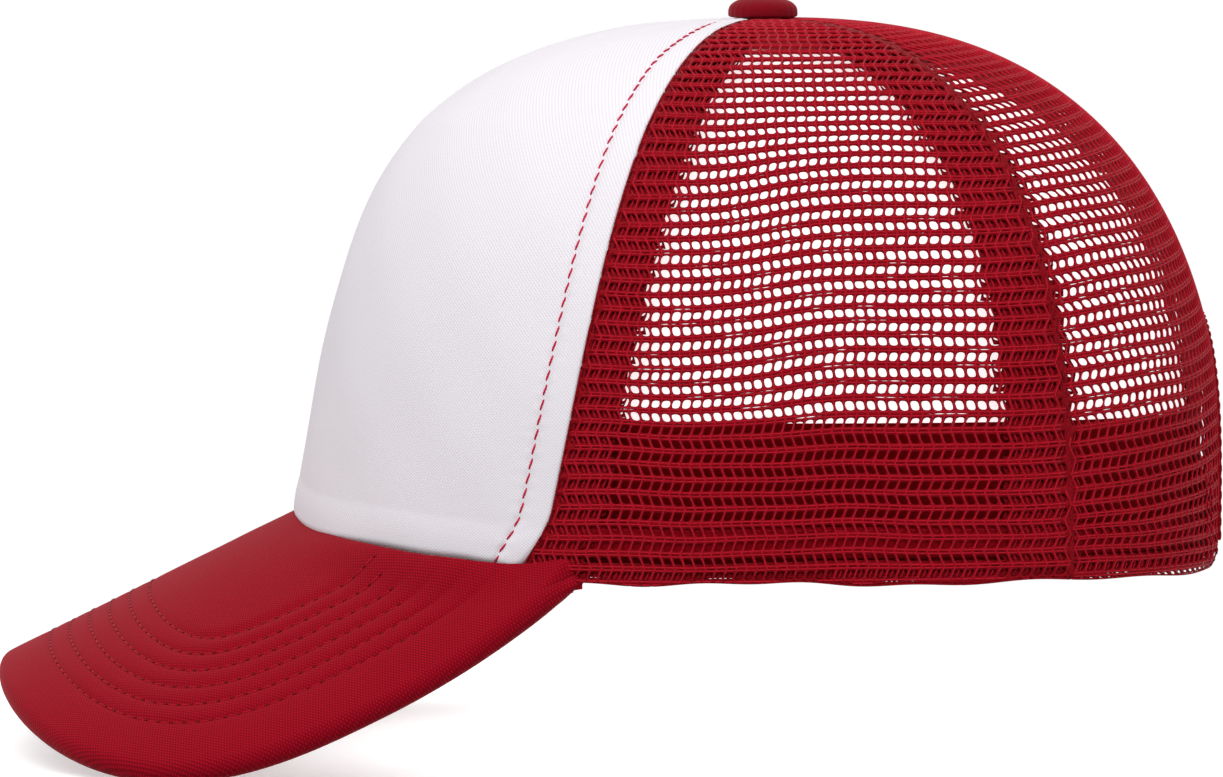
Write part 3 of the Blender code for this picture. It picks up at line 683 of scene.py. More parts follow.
class Net:
    """Places the net's flat pattern on a panel of the crown."""

    def __init__(self, panel, seed, row_start, foot, sweep, moon=False):
        self.panel, self.seed, self.row_start = panel, seed, row_start
        self.foot, self.sweep, self.moon = foot, sweep, moon

    def lean(self, s, t):
        """The wales' swing, which is widest along the panel's edges and behind the sweatband."""
        azimuth, rise = self.panel.angles(s, t)
        from_edge = np.minimum(self.panel.from_start(azimuth, rise), self.panel.from_end(azimuth, rise))
        open_share = smoothstep(8 * MM, 16 * MM, from_edge) * smoothstep(30 * MM, 40 * MM, t)
        return zigzag(t, self.row_start) * (WIDE_WALE_LEAN + (WALE_LEAN - WIDE_WALE_LEAN) * open_share)

    def angles(self, s, t):
        """Azimuth and rise of points of the flat pattern, kept inside the panel's edges."""
        panel = self.panel
        s = s + self.lean(s, t)
        t = t + self.sweep(panel, s, t) + wobble(s, t, self.seed) * smoothstep(0, 8 * MM, t)
        s = s + 0.4 * wobble(t, s, self.seed + 1)
        azimuth, rise = panel.angles(s, t)
        rise = np.clip(rise, self.foot(azimuth), TOP_RISE)
        azimuth = np.clip(azimuth, panel.start(rise), panel.end(rise))
        return self.out_of_moon(azimuth, rise) if self.moon else (azimuth, rise)

    def out_of_moon(self, azimuth, rise):
        """Moves points that lie in the half-moon opening to its edge."""
        point = crown_skin(azimuth, rise)
        x, z = point[..., 0] / HALF_MOON_HALF_WIDTH, point[..., 2] / HALF_MOON_HEIGHT
        reach = np.hypot(x, np.maximum(z, 0))
        inside = (reach < 1) & (point[..., 1] > 0)
        out = 1 / np.maximum(reach, 1e-3)
        new_rise = rise_at_height(np.minimum(np.maximum(z, 0) * out, 0.999) * HALF_MOON_HEIGHT)
        target = np.clip(x * out, 0, 1) * HALF_MOON_HALF_WIDTH
        turned = BACK_AZIMUTH - target / CROWN_BACK_REACH
        for _ in range(8):
            turned = turned + (crown_skin(turned, new_rise)[..., 0] - target) / CROWN_BACK_REACH
        turned = np.clip(turned, self.panel.start(new_rise), self.panel.end(new_rise))
        return np.where(inside, turned, azimuth), np.where(inside, new_rise, rise)

    def cells(self, shift, wanted, seed):
        """Places of the cells: pattern points of border and hole, for the cells that are wanted."""
        panel = self.panel
        columns = int(panel.half_width() / HOLE_PITCH) + 3
        rows = int(panel.ups[-1] / ROW_PITCH) + 3
        i, j = np.meshgrid(np.arange(-columns, columns + 1), np.arange(-1, rows))
        s = (i.ravel() + shift[0]) * HOLE_PITCH
        t = (j.ravel() + 0.5 + shift[1]) * ROW_PITCH + self.row_start
        azimuth, rise = panel.angles(s, t)
        keep = panel.from_start(azimuth, rise) > -HOLE_PITCH
        keep &= panel.from_end(azimuth, rise) > -HOLE_PITCH
        keep &= (t < panel.ups[-1] + ROW_PITCH) & wanted(panel, azimuth, rise)
        s, t = s[keep], t[keep]
        border, hole = round_hole()
        draws = np.random.default_rng(seed).normal(1, 0.06, (len(s), 1, 2))
        half = np.array([HOLE_PITCH, ROW_PITCH]) / 2
        size = np.array([HOLE_HALF_WIDTH, HOLE_HALF_HEIGHT]) * np.clip(draws, 0.8, 1.12)
        middle = np.stack([s, t], -1)[:, None]
        border = middle + border * half
        slit = self.slit(border[:, SLIT_POINTS, 0], border[:, SLIT_POINTS, 1])
        border[:, SLIT_POINTS, 1] -= SLIT_SIDES * slit
        return border, middle + hole * size

    def slit(self, s, t):
        """Half the height of the slit between a band's yarns, which open here and there."""
        draws = np.random.default_rng(self.seed + 5).uniform(0, 2 * math.pi, 4)
        slow = np.sin(s / (5.3 * MM) + t / (2.1 * MM) + draws[0])
        slow = slow + np.sin(s / (2.3 * MM) - t / (3.7 * MM) + draws[1])
        fast = np.sin(s / (0.9 * MM) + draws[2]) * np.sin(t / (1.3 * MM) + draws[3])
        return SLIT_HALF_HEIGHT * np.clip(slow * 0.6 + fast * 0.6, 0, 1)

    def sheet(self, name, finish, shift, wanted, depth, seed):
        """The net's own sheet, with an open hole in each cell."""
        border, hole = self.cells(shift, wanted, seed)
        flat = np.concatenate([border, hole], 1)
        proud = np.concatenate(
            [np.full(border.shape[:2], NET_RELIEF), np.zeros(hole.shape[:2])], 1
        ) - depth
        azimuth, rise = self.angles(flat[..., 0], flat[..., 1])
        points = crown_point(azimuth, rise, proud)
        step = np.arange(12)
        ring = np.stack([step, (step + 1) % 12, (step + 1) % 12 + 12, step + 12], -1)
        faces = (ring[None] + (np.arange(len(flat)) * 24)[:, None, None]).reshape(-1, 4)
        points, flat = points.reshape(-1, 3), flat.reshape(-1, 2)
        corners = points[faces]
        area = np.linalg.norm(
            np.cross(corners[:, 2] - corners[:, 0], corners[:, 3] - corners[:, 1]), axis=1
        )
        obj = new_object(name, points, faces[area > 2e-10], finish, flat)
        shape = bmesh.new()
        shape.from_mesh(obj.data)
        bmesh.ops.remove_doubles(shape, verts=shape.verts, dist=4e-6)
        loose = [v for v in shape.verts if not v.link_faces]
        bmesh.ops.delete(shape, geom=loose, context="VERTS")
        shape.to_mesh(obj.data)
        shape.free()
        return thicken(obj, NET_THICKNESS)

    def lines(self, starts, step, spread, upward, wanted, depth):
        """Runs of points along the net's wales or rows, where they are wanted."""
        found = []
        for start in starts:
            if upward:
                t = np.arange(self.row_start - ROW_PITCH, self.panel.ups[-1], step)
                s = np.full_like(t, start)
            else:
                half = self.panel.half_width() + HOLE_PITCH
                s = np.arange(-half, half, step)
                t = np.full_like(s, start) + spread
            raw_azimuth, raw_rise = self.panel.angles(s, t)
            edge = 0.4 * MM
            keep = (self.panel.from_start(raw_azimuth, raw_rise) > edge)
            keep &= (self.panel.from_end(raw_azimuth, raw_rise) > edge)
            keep &= (raw_rise > self.foot(raw_azimuth)) & (raw_rise < TOP_RISE)
            keep &= wanted(self.panel, raw_azimuth, raw_rise)
            if self.moon:
                place = crown_skin(raw_azimuth, raw_rise)
                reach = np.hypot(place[:, 0] / HALF_MOON_HALF_WIDTH, place[:, 2] / HALF_MOON_HEIGHT)
                keep &= reach > 1
            azimuth, rise = self.angles(s, t)
            points = crown_point(azimuth, rise, np.full_like(rise, depth))
            normals = crown_normal(azimuth, rise)
            edges = np.flatnonzero(np.diff(np.concatenate([[0], keep.astype(int), [0]])))
            for first, last in zip(edges[::2], edges[1::2]):
                if last - first > 2:
                    found.append((points[None, first:last], normals[None, first:last]))
        return found

    def threads(self, name, finish, shift, wanted, depth, with_yarns):
        """The zigzag chains up the wales, and the loose yarns along the rows."""
        panel = self.panel
        columns = int(panel.half_width() / HOLE_PITCH) + 2
        wales = (np.arange(-columns, columns + 1) + 0.5 + shift[0]) * HOLE_PITCH
        groups = [
            (line, normal, CHAIN_RADIUS)
            for line, normal in self.lines(wales, ROW_PITCH / 2, 0, True, wanted, NET_RELIEF - depth)
        ]
        if with_yarns:
            rows = np.arange(int(panel.ups[-1] / ROW_PITCH) + 2) * ROW_PITCH + self.row_start
            for spread in (-YARN_SPREAD, YARN_SPREAD):
                groups += [
                    (line, normal, YARN_RADIUS)
                    for line, normal in self.lines(
                        rows, HOLE_PITCH / 1.5, spread, False, wanted, NET_RELIEF - depth - 0.04 * MM
                    )
                ]
        return tube_object(name, groups, 4, finish)


# ---------------------------------------------------------------- where the net is doubled


HEM_FOLD = 4.6 * MM


def everywhere(_panel, azimuth, _rise):
    return np.ones_like(azimuth, bool)


def ragged(azimuth, rise, size=1.4 * MM):
    """An uneven edge for a folded-back allowance."""
    return size * np.sin(rise * 61 + azimuth * 13) * np.sin(rise * 23 + azimuth * 7)


def side_folds(panel, azimuth, rise):
    front = panel.from_start(azimuth, rise) < 10.5 * MM + ragged(azimuth, rise)
    back = panel.from_end(azimuth, rise) < 12.5 * MM + ragged(azimuth, rise)
    foot = crown_skin(azimuth, rise)[..., 2] < HEM_FOLD
    return front | back | foot | near_top(azimuth, rise)


def near_top(azimuth, rise):
    return ring_radius(azimuth, rise) < 24 * MM + ragged(rise, azimuth, 2 * MM)


def moon_distance(azimuth, rise):
    """Distance out from the half-moon opening's edge."""
    point = crown_skin(azimuth, rise)
    height = np.maximum(point[..., 2], 0)
    reach = np.hypot(point[..., 0] / HALF_MOON_HALF_WIDTH, height / HALF_MOON_HEIGHT)
    return (reach - 1) * (HALF_MOON_HALF_WIDTH + HALF_MOON_HEIGHT) / 2


def rear_folds(panel, azimuth, rise):
    front = panel.from_start(azimuth, rise) < 2.2 * MM
    back = panel.from_end(azimuth, rise) < 7 * MM + ragged(azimuth, rise)
    moon = moon_distance(azimuth, rise) < 12 * MM + ragged(azimuth, rise)
    foot = crown_skin(azimuth, rise)[..., 2] < HEM_FOLD
    return front | back | foot | moon | near_top(azimuth, rise)


def hem_foot(azimuth):
    """Rise of the net's lower edge, which waves a little."""
    wave = 0.35 * MM * np.sin(azimuth * 9) + 0.25 * MM * np.sin(azimuth * 23 + 1)
    corner = np.maximum(0, 43 * MM - crown_skin(azimuth, 0 * azimuth)[..., 0]) * (azimuth > BACK_AZIMUTH / 2)
    corner = np.minimum(corner, 7.4 * MM)
    return rise_at_height(wave + 7.5 * MM - np.sqrt((7.5 * MM) ** 2 - corner**2))


def side_sweep(_panel, s, t):
    """How far the side panel's rows have drifted up: a slope in the middle, level at both ends."""
    drift = smoothstep(-24 * MM, 22 * MM, s) - 0.45
    grown = 0.12 + 0.88 * smoothstep(24 * MM, 52 * MM, t)
    return drift * 4.2 * MM * grown * (1 - smoothstep(85 * MM, 112 * MM, t))


def rear_sweep(panel, s, t):
    """The rear panel's rows climb towards the back, and arch down near the top."""
    span = np.interp(t, panel.ups, panel.spans)
    turn = np.interp(t, panel.ups, -np.gradient(panel.spans, panel.ups))
    return 0.09 * s * smoothstep(0, 20 * MM, t) - 0.35 * turn * s * s / (2 * span)


SIDE_PANEL = Panel(front_seam, side_seam)
REAR_PANEL = Panel(side_seam, back_seam)


def make_net(where, panel, folds, seed, row_start, sweep, moon):
    """One net panel of the wearer's left side and its mirror image."""
    net = Net(panel, seed, row_start, hem_foot, sweep, moon)
    pieces = [
        net.sheet(f"net_{where}_left", net_finish, (0, 0), everywhere, 0.0, seed + 2),
        net.sheet(f"net_{where}_fold_left", shaded_net_finish, (0.5, 0.35), folds, 0.55 * MM, seed + 3),
        net.threads(f"net_{where}_chains_left", chain_finish, (0, 0), everywhere, 0.0, True),
        net.threads(f"net_{where}_fold_chains_left", chain_finish, (0.5, 0.35), folds, 0.5 * MM, False),
    ]
    for piece in pieces:
        for obj, side in ((piece, "left"), (mirrored(piece, piece.name[:-4] + "right"), "right")):
            settle(obj, "red_net", f"mesh_{where}_{side}")


make_net("side", SIDE_PANEL, side_folds, 11, 0.0, side_sweep, False)
make_net("rear", REAR_PANEL, rear_folds, 31, 0.9 * MM, rear_sweep, True)


# ---------------------------------------------------------------- front panel

STITCH_LENGTH = 2.9 * MM
STITCH_GAP = 0.3 * MM
THREAD_RADIUS = 0.22 * MM
STITCH_SLANT = 0.16 * MM
FACE_THICKNESS = 0.8 * MM
FOAM_DEPTH = 1.3 * MM
FOAM_THICKNESS = 3 * MM
FACE_ROLL = 2.2 * MM
SEAM_ROLL = 1.2 * MM
FACE_CORNER = 3 * MM
SEAM_PUFF = 0.3 * MM
GROOVE_DEPTH = 0.5 * MM
GROOVE_WIDTH = 0.85 * MM
FRONT_ROW_INSET = 7.3 * MM
FACE_TOP_RADIUS = 5.5 * MM


def bill_edge(angle, inset):
    radius = bill_edge_radius(angle) - inset
    return radius * np.sin(angle), BILL_WAIST + radius * np.cos(angle)


def find_bill_corner(depth, proud, width):
    """Where the bill is still that wide beside the crown: azimuth, and angle on the flat board."""
    low, high = math.radians(30), math.radians(88)
    for _ in range(24):
        azimuth = (low + high) / 2
        across, forward, _ = (float(v[0]) for v in bill_meets_crown(np.array([azimuth]), depth, proud))
        angle = math.atan2(across, forward - BILL_WAIST)
        spare = float(bill_edge_radius(angle)) - math.hypot(across, forward - BILL_WAIST)
        low, high = (azimuth, high) if spare > width else (low, azimuth)
    return azimuth, angle


BILL_CORNER_WIDTH = 3.4 * MM
BILL_CORNER = find_bill_corner(0, 0, BILL_CORNER_WIDTH)[0]
ROOT_LIFT = 3.4 * MM


def root_lift(azimuth):
    """How far the bill's cloth turns up where it meets the front panel."""
    turn = np.degrees(np.abs(azimuth))
    return ROOT_LIFT * smoothstep(12, 37, turn) * (1 - 0.72 * smoothstep(44, 57, turn))


def face_foot(azimuth):
    """Height of the front panel's lower edge, on the bill."""
    height = bill_meets_crown(np.minimum(np.abs(azimuth), BILL_CORNER), 0, 0.0)[2]
    return height + root_lift(azimuth)


def around_speed(azimuth, rise):
    """Metres round the crown per radian of azimuth."""
    step = 1e-3
    across = crown_skin(azimuth + step, rise) - crown_skin(azimuth - step, rise)
    return np.linalg.norm(across, axis=-1) / (2 * step)


FRONT_PANEL = Panel(lambda rise: -front_seam(rise), front_seam)


def up_distance(rise):
    return np.interp(rise, FRONT_PANEL.rises, FRONT_PANEL.ups)


def face_grid(columns, rows, seam_inset, foot_drop, top_rise):
    """Azimuths and rises over the front panel, closest together near its edges."""
    share = np.linspace(-1, 1, columns)
    across = np.sign(share) * (1 - (1 - np.abs(share)) ** 1.5)
    up = np.linspace(0, 1, rows)[:, None] ** 1.3
    azimuth = across * FRONT_SEAM_LOW_AZIMUTH * np.ones((rows, 1))
    for _ in range(3):
        foot = rise_at_height(face_foot(azimuth[0]) - foot_drop)
        rise = foot + (top_rise - foot) * up
        azimuth = across * (front_seam(rise) - seam_inset / ring_radius(front_seam(rise), rise))
    return azimuth, rise


def rolled(distance, radius):
    """How far a rolled edge has dropped at a distance from its outline."""
    inside = np.clip(distance, 0, radius)
    return radius - np.sqrt(np.maximum(radius**2 - (radius - inside) ** 2, 0)) + np.maximum(-distance, 0)


def groove(distance, place, width, depth):
    return depth * np.exp(-(((distance - place) / width) ** 2))


def front_row_inset(rise):
    return FRONT_ROW_INSET - 1.8 * MM * smoothstep(0.9, 1.4, rise)


def face_proud(azimuth, rise):
    seam_gap = (front_seam(rise) - np.abs(azimuth)) * around_speed(np.abs(azimuth), rise)
    foot_gap = up_distance(rise) - up_distance(rise_at_height(face_foot(azimuth)))
    low = np.maximum(FACE_CORNER - seam_gap, 0), np.maximum(FACE_CORNER - foot_gap, 0)
    edge = FACE_CORNER - np.hypot(*low)
    edge = np.where((low[0] > 0) & (low[1] > 0), edge, np.minimum(seam_gap, foot_gap))
    roll = SEAM_ROLL + (FACE_ROLL - SEAM_ROLL) * (1 - smoothstep(0, 6 * MM, foot_gap))
    row = front_row_inset(rise)
    puff = SEAM_PUFF * np.sin(np.pi * np.clip(seam_gap / row, 0, 1)) ** 0.8
    puff += SEAM_PUFF * np.sin(np.pi * np.clip(foot_gap / (9 * MM), 0, 1))
    puckers = 0.5 + 0.5 * np.cos(2 * np.pi * up_distance(rise) / (STITCH_LENGTH + STITCH_GAP))
    near_row = groove(seam_gap, row, 2.2 * MM, 0.13 * MM)
    crease = groove(seam_gap, row, GROOVE_WIDTH, GROOVE_DEPTH)
    soft = 0.12 * MM * np.sin(azimuth * 17 + 3 * rise) * np.sin(rise * 21 + azimuth * 4)
    return puff + soft - rolled(edge, roll) - crease - near_row * puckers


def make_front_panel():
    top = rise_at_radius(FACE_TOP_RADIUS)
    azimuth, rise = face_grid(231, 200, 0.0, 0.0, top)
    points = crown_point(azimuth, rise, face_proud(azimuth, rise))
    spans = np.interp(rise, FRONT_PANEL.rises, FRONT_PANEL.spans)
    weave = np.stack([azimuth * spans, up_distance(rise)], -1)
    face = new_object("front_panel_cloth", points, grid_faces(*azimuth.shape), white_finish, weave)
    settle(thicken(face, FACE_THICKNESS), "white_cloth", "front_panel_face")

    azimuth, rise = face_grid(71, 60, 4.5 * MM, 2.4 * MM, rise_at_radius(9.5 * MM))
    ripple = 0.1 * MM * np.sin(azimuth * 40) * np.sin(rise * 37)
    points = crown_point(azimuth, rise, ripple - FOAM_DEPTH - 0.15 * MM)
    foam = new_object("front_panel_padding", points, grid_faces(*azimuth.shape), foam_material)
    settle(thicken(foam, FOAM_THICKNESS - 0.3 * MM), "foam", "front_panel_foam")
    soften(foam, 0.6 * MM)
    return face, foam


def soften(obj, width, segments=3):
    """Rounds the sharp edges of a piece."""
    bevel = obj.modifiers.new("soft_edges", "BEVEL")
    bevel.width = width
    bevel.segments = segments
    bevel.limit_method = "ANGLE"
    bevel.angle_limit = math.radians(50)
    return obj


def front_row(side):
    """The seam's row of single stitches on the front panel."""
    rise = np.linspace(float(rise_at_height(3 * MM)), rise_at_radius(13 * MM), 400)
    seam = front_seam(rise)
    azimuth = seam - front_row_inset(rise) / around_speed(seam, rise)
    path = crown_point(side * azimuth, rise, face_proud(azimuth, rise))
    outward = crown_normal(side * azimuth, rise)
    slant = side * STITCH_SLANT
    return stitches(path, outward, STITCH_LENGTH, STITCH_GAP, THREAD_RADIUS, slant=slant)


front_cloth, front_padding = make_front_panel()
front_thread = tube_object("front_seam_stitches", [front_row(1), front_row(-1)], 6, seam_thread_finish)
settle(front_thread, "red_tape")


# ---------------------------------------------------------------- bill

BILL_CORNER_DEPTH = 2.9 * MM
BILL_TUCK = 1.2 * MM
BILL_ROLL = BILL_THICKNESS / 2
BILL_FIRST_ROW = 12.8 * MM
BILL_ROW_PITCH = 4.9 * MM
BILL_ROWS = [BILL_FIRST_ROW + BILL_ROW_PITCH * k for k in range(6)]
BILL_PUFF = 0.34 * MM
BILL_EDGE_PUFF = 0.5 * MM
BILL_SINK = 0.25 * MM
BILL_COVER_THICKNESS = 0.6 * MM
BILL_COLUMNS = 281
BILL_ROLL_ROWS = 8
RAY_START = 10 * MM
RAY_LENGTH = 18 * MM


def edge_tree():
    """The bill's outline on the flat board, for distances from it."""
    angle = np.linspace(-math.radians(140), math.radians(140), 5001)
    across, forward = bill_edge(angle, 0)
    tree = KDTree(len(angle))
    for index, place in enumerate(zip(across, forward)):
        tree.insert((*place, 0), index)
    tree.balance()
    return tree


def edge_distances(across, forward, tree):
    flat = np.stack([across.ravel(), forward.ravel()], -1)
    return np.array([tree.find((*place, 0))[2] for place in flat]).reshape(across.shape)


def bill_relief(distance, across, forward):
    """Height of the stitched bill's puffs between its rows, by distance from the outline."""
    first, last = BILL_ROWS[0], BILL_ROWS[-1]
    uneven = 1 + 0.22 * np.sin(across / (7 * MM) + distance / (3 * MM)) * np.sin(forward / (11 * MM))
    uneven *= 0.3 + 0.9 * smoothstep(18 * MM, 58 * MM, np.abs(across))
    between = np.abs(np.sin(np.pi * (distance - first) / BILL_ROW_PITCH)) ** 0.7 * BILL_PUFF
    outer = np.sin(np.pi * np.clip(distance / first, 0, 1)) ** 0.6 * BILL_EDGE_PUFF
    inner = smoothstep(0, 3 * MM, distance - last) * BILL_PUFF
    height = np.where(distance < first, outer, np.where(distance > last, inner, between))
    sunk = sum(groove(distance, row, 0.7 * MM, BILL_SINK) for row in BILL_ROWS)
    return (height - sunk) * uneven


def outline_normal(angle):
    """The outward normal of the bill's outline on the flat board."""
    step = 1e-3
    ahead, behind = np.stack(bill_edge(angle + step, 0)), np.stack(bill_edge(angle - step, 0))
    along = ahead - behind
    length = np.hypot(*along)
    return -along[1] / length, along[0] / length


def bill_sheet(name, upper, tree):
    """The bill's upper or under cover. The upper one wraps the edge, and the under one tucks in."""
    depth = 0 if upper else BILL_THICKNESS
    corner, corner_angle = find_bill_corner(0 if upper else BILL_ROLL, -BILL_TUCK, 0.3 * MM)
    turn = np.linspace(-1, 1, BILL_COLUMNS)
    turn = np.sign(turn) * (1 - (1 - np.abs(turn)) ** 1.15)
    across_in, forward_in, _ = bill_meets_crown(turn * corner, depth, -BILL_TUCK)
    across_out, forward_out = bill_edge(turn * corner_angle, 0)
    away, ahead = outline_normal(turn * corner_angle)
    width = np.hypot(across_out - across_in, forward_out - forward_in)
    reach = BILL_ROLL * np.minimum(1, width / (2.2 * BILL_ROLL))
    radius = BILL_ROLL if upper else BILL_ROLL - 0.3 * MM
    first, last = (math.radians(130), 0) if upper else (math.radians(105), math.pi)
    turned = np.linspace(first, last, BILL_ROLL_ROWS + 1)[:, None]
    inset = reach * (1 - np.sin(turned)) + (0 if upper else 0.3 * MM)
    across, forward = across_out - inset * away, forward_out - inset * ahead
    below = BILL_ROLL - radius * np.cos(turned) + 0 * inset
    rest = np.linspace(0, 1, 125)[1:, None]
    flat = 0 * rest + (0 if upper else BILL_THICKNESS - 0.3 * MM) + 0 * width
    across = np.concatenate([across, across[-1] + (across_in - across[-1]) * rest])
    forward = np.concatenate([forward, forward[-1] + (forward_in - forward[-1]) * rest])
    below = np.concatenate([below, flat])
    distance = edge_distances(across, forward, tree)
    relief = bill_relief(distance, across, forward) * smoothstep(0, BILL_ROLL * 1.2, distance)
    relief[: BILL_ROLL_ROWS - 2] = 0
    to_crown = np.hypot(across - across_in, forward - forward_in) - BILL_TUCK
    relief = relief * (0.15 + 0.85 * smoothstep(1 * MM, 13 * MM, to_crown))
    below = below - relief if upper else below + 0.45 * relief
    if upper:
        lift = root_lift(turn * corner) * np.minimum(1, width / (9 * MM))
        below = below - lift * (1 - smoothstep(-1 * MM, 12 * MM, to_crown)) ** 1.5
    ending = 1 - smoothstep(0.5 * MM, 10 * MM, width)
    meeting = BILL_CORNER_DEPTH if upper else BILL_CORNER_DEPTH + 0.4 * MM
    below = below + (meeting - below) * ending
    points = bill_point(across, forward, below)
    weave = np.stack([across, forward], -1)
    cloth = new_object(name, points, grid_faces(*across.shape, flip=upper), bill_finish, weave)
    return thicken(cloth, BILL_COVER_THICKNESS)


def laid_on(surface, path, up):
    """A path moved onto a cloth's outer surface, along its own outward directions."""
    landed = []
    for point, direction in zip(path, up):
        direction = Vector(direction)
        hit = surface.ray_cast(Vector(point) + direction * RAY_START, -direction, RAY_LENGTH)[0]
        landed.append(tuple(point if hit is None else hit))
    return np.array(landed)


def bill_row(inset, upper, surface, dents=False):
    """One row of stitches round the bill, from the crown on one side to the crown on the other."""
    angle = np.linspace(-math.radians(100), math.radians(100), 1600)
    across, forward = bill_edge(angle, 0)
    along = unit(np.stack([np.gradient(across), np.gradient(forward)], -1))
    across, forward = across + inset * along[:, 1], forward - inset * along[:, 0]
    relief = bill_relief(np.full_like(across, inset), across, forward)
    depth = -relief if upper else BILL_THICKNESS - 0.3 * MM + relief * 0.45
    path = bill_point(across, forward, depth)
    turned = crown_skin(np.arctan2(path[:, 0], -path[:, 1]), rise_at_height(path[:, 2]))
    clear = np.hypot(path[:, 0], path[:, 1]) > np.hypot(turned[:, 0], turned[:, 1])
    path = path[clear]
    side = across[clear] / BILL_RADIUS
    tilt = np.stack([np.sin(side), 0 * side, np.cos(side)], -1)
    board_up = np.array([0, -math.sin(BILL_SLOPE), math.cos(BILL_SLOPE)])
    up = tilt[:, :1] * np.array([1, 0, 0]) + tilt[:, 2:] * board_up
    up = unit(up if upper else -up)
    path = laid_on(surface, path, up)
    if dents:
        return stitches(path, up, *NEEDLE_DENT_SHADE, sink=0.1, start=NEEDLE_DENT_SHADE_START)
    return stitches(path, up, *LONG_STITCH, sink=0.2)


def make_bill():
    tree = edge_tree()
    top = settle(bill_sheet("bill_top_cloth", True, tree), "red_cloth", "bill_top_cover", "bill_wadding")
    under = settle(bill_sheet("bill_under_cloth", False, tree), "red_cloth", "bill_under_cover")
    shapes = bpy.context.evaluated_depsgraph_get()
    top_surface, under_surface = (BVHTree.FromObject(cloth, shapes) for cloth in (top, under))
    for name, upper, surface in (
        ("bill_top_stitches", True, top_surface),
        ("bill_under_stitches", False, under_surface),
    ):
        rows = [bill_row(inset, upper, surface) for inset in BILL_ROWS]
        settle(tube_object(name, rows, 6, thread_finish), "red_cloth")
    # Painted shade: short dark marks along the rows where the needle dents the cloth.
    dents = [bill_row(inset, True, top_surface, dents=True) for inset in BILL_ROWS]
    settle(tube_object("bill_top_needle_marks", dents, 6, dent_shade_finish), "red_cloth")
    return top, under


bill_top, bill_under = make_bill()


# ---------------------------------------------------------------- tapes

TAPE_DEPTH = 1.3 * MM
TAPE_THICKNESS = 0.5 * MM
TAPE_WIDTH = 14 * MM
FRONT_TAPE_LAP = 4 * MM
SIDE_TAPE_LAP = 1.5 * MM
TAPE_LOW = 12.3 * MM
TAPE_TOP_RADIUS = 26.5 * MM
HEM_TAPE_LOW = 5.2 * MM
HEM_TAPE_HIGH = 11.8 * MM
HEM_TAPE_DEPTH = 0.62 * MM


def tape_stitches(azimuth, rise, proud, columns):
    """Stitch rows along some of a strip's columns of points."""
    rows = []
    for column in columns:
        path = crown_point(azimuth[:, column], rise[:, column], proud[:, column])
        outward = crown_normal(azimuth[:, column], rise[:, column])
        rows.append(stitches(path, outward, *TAPE_STITCH))
    return rows


def seam_tape(name, seam, first, low_height):
    """A strip of tape behind a seam."""
    rise = np.linspace(float(rise_at_height(low_height)), rise_at_radius(TAPE_TOP_RADIUS), 150)[:, None]
    share = np.linspace(0, 1, 15)
    line = seam(rise)
    azimuth = line + (first + TAPE_WIDTH * share) / ring_radius(line, rise)
    rise = rise * np.ones_like(azimuth)
    proud = 0.06 * MM * np.sin(rise * 90 + share * 5) + 0.08 * MM * np.cos(share * 2 * np.pi)
    proud = proud - TAPE_DEPTH - 0.12 * MM
    weave = np.stack([share * TAPE_WIDTH * np.ones_like(rise), up_distance(rise)], -1)
    points = crown_point(azimuth, rise, proud)
    strip = new_object(name, points, grid_faces(*rise.shape), tape_finish, weave)
    strip = thicken(strip, TAPE_THICKNESS - 0.1 * MM)
    rows = tape_stitches(azimuth, rise, proud, (2, 12))
    return strip, tube_object(name + "_stitches", rows, 5, thread_finish)


def make_tapes():
    laps = (("front", front_seam, -FRONT_TAPE_LAP), ("side", side_seam, SIDE_TAPE_LAP - TAPE_WIDTH))
    for word, seam, first in laps:
        for piece in seam_tape(f"{word}_tape_left", seam, first, TAPE_LOW):
            settle(piece, "red_tape", f"{word}_seam_tape_left")
            twin = mirrored(piece, piece.name.replace("left", "right"))
            settle(twin, "red_tape", f"{word}_seam_tape_right")
    for piece in seam_tape("back_tape", back_seam, -TAPE_WIDTH / 2, 54.6 * MM):
        settle(piece, "red_tape", "back_seam_tape")


def back_azimuth(distance):
    """Azimuth at a distance round the lower edge from the back's middle."""
    azimuth = np.linspace(BACK_AZIMUTH, BACK_AZIMUTH / 2, 2000)
    steps = np.linalg.norm(np.diff(crown_skin(azimuth, 0), axis=0), axis=1)
    return float(np.interp(distance, np.concatenate([[0], np.cumsum(steps)]), azimuth))


TAB_END = 0.0335 + 13.5 * MM + 0.3 * MM


def make_hem_tape():
    low, high = float(rise_at_height(HEM_TAPE_LOW)), float(rise_at_height(HEM_TAPE_HIGH))
    start = front_seam(low) - 4 * MM / float(ring_radius(front_seam(low), low))
    azimuth = np.linspace(start, back_azimuth(TAB_END + 0.3 * MM), 220)[None, :]
    rise = np.linspace(low, high, 9)[:, None] * np.ones_like(azimuth)
    azimuth = azimuth * np.ones_like(rise)
    proud = 0.05 * MM * np.sin(azimuth * 90) - HEM_TAPE_DEPTH
    weave = np.stack([azimuth * 90 * MM, up_distance(rise)], -1)
    points = crown_point(azimuth, rise, proud)
    strip = new_object("hem_tape_cloth_left", points, grid_faces(*rise.shape), hem_finish, weave)
    rows = tape_stitches(azimuth.T, rise.T, proud.T, (1, 7))
    thread = tube_object("hem_tape_stitches_left", rows, 5, thread_finish)
    for piece in (thicken(strip, TAPE_THICKNESS - 0.1 * MM), thread):
        settle(piece, "red_tape", "hem_tape_left")
        settle(mirrored(piece, piece.name.replace("left", "right")), "red_tape", "hem_tape_right")


make_tapes()
make_hem_tape()


# ---------------------------------------------------------------- sweatband and half-moon binding

BAND_THICKNESS = 1.2 * MM
BAND_HEIGHT = 33 * MM
BAND_LIFT = 0.8 * MM
BAND_FRONT_DEPTH = 5.0 * MM
BAND_SIDE_DEPTH = 2.5 * MM
BAND_TAB_DEPTH = 3.5 * MM


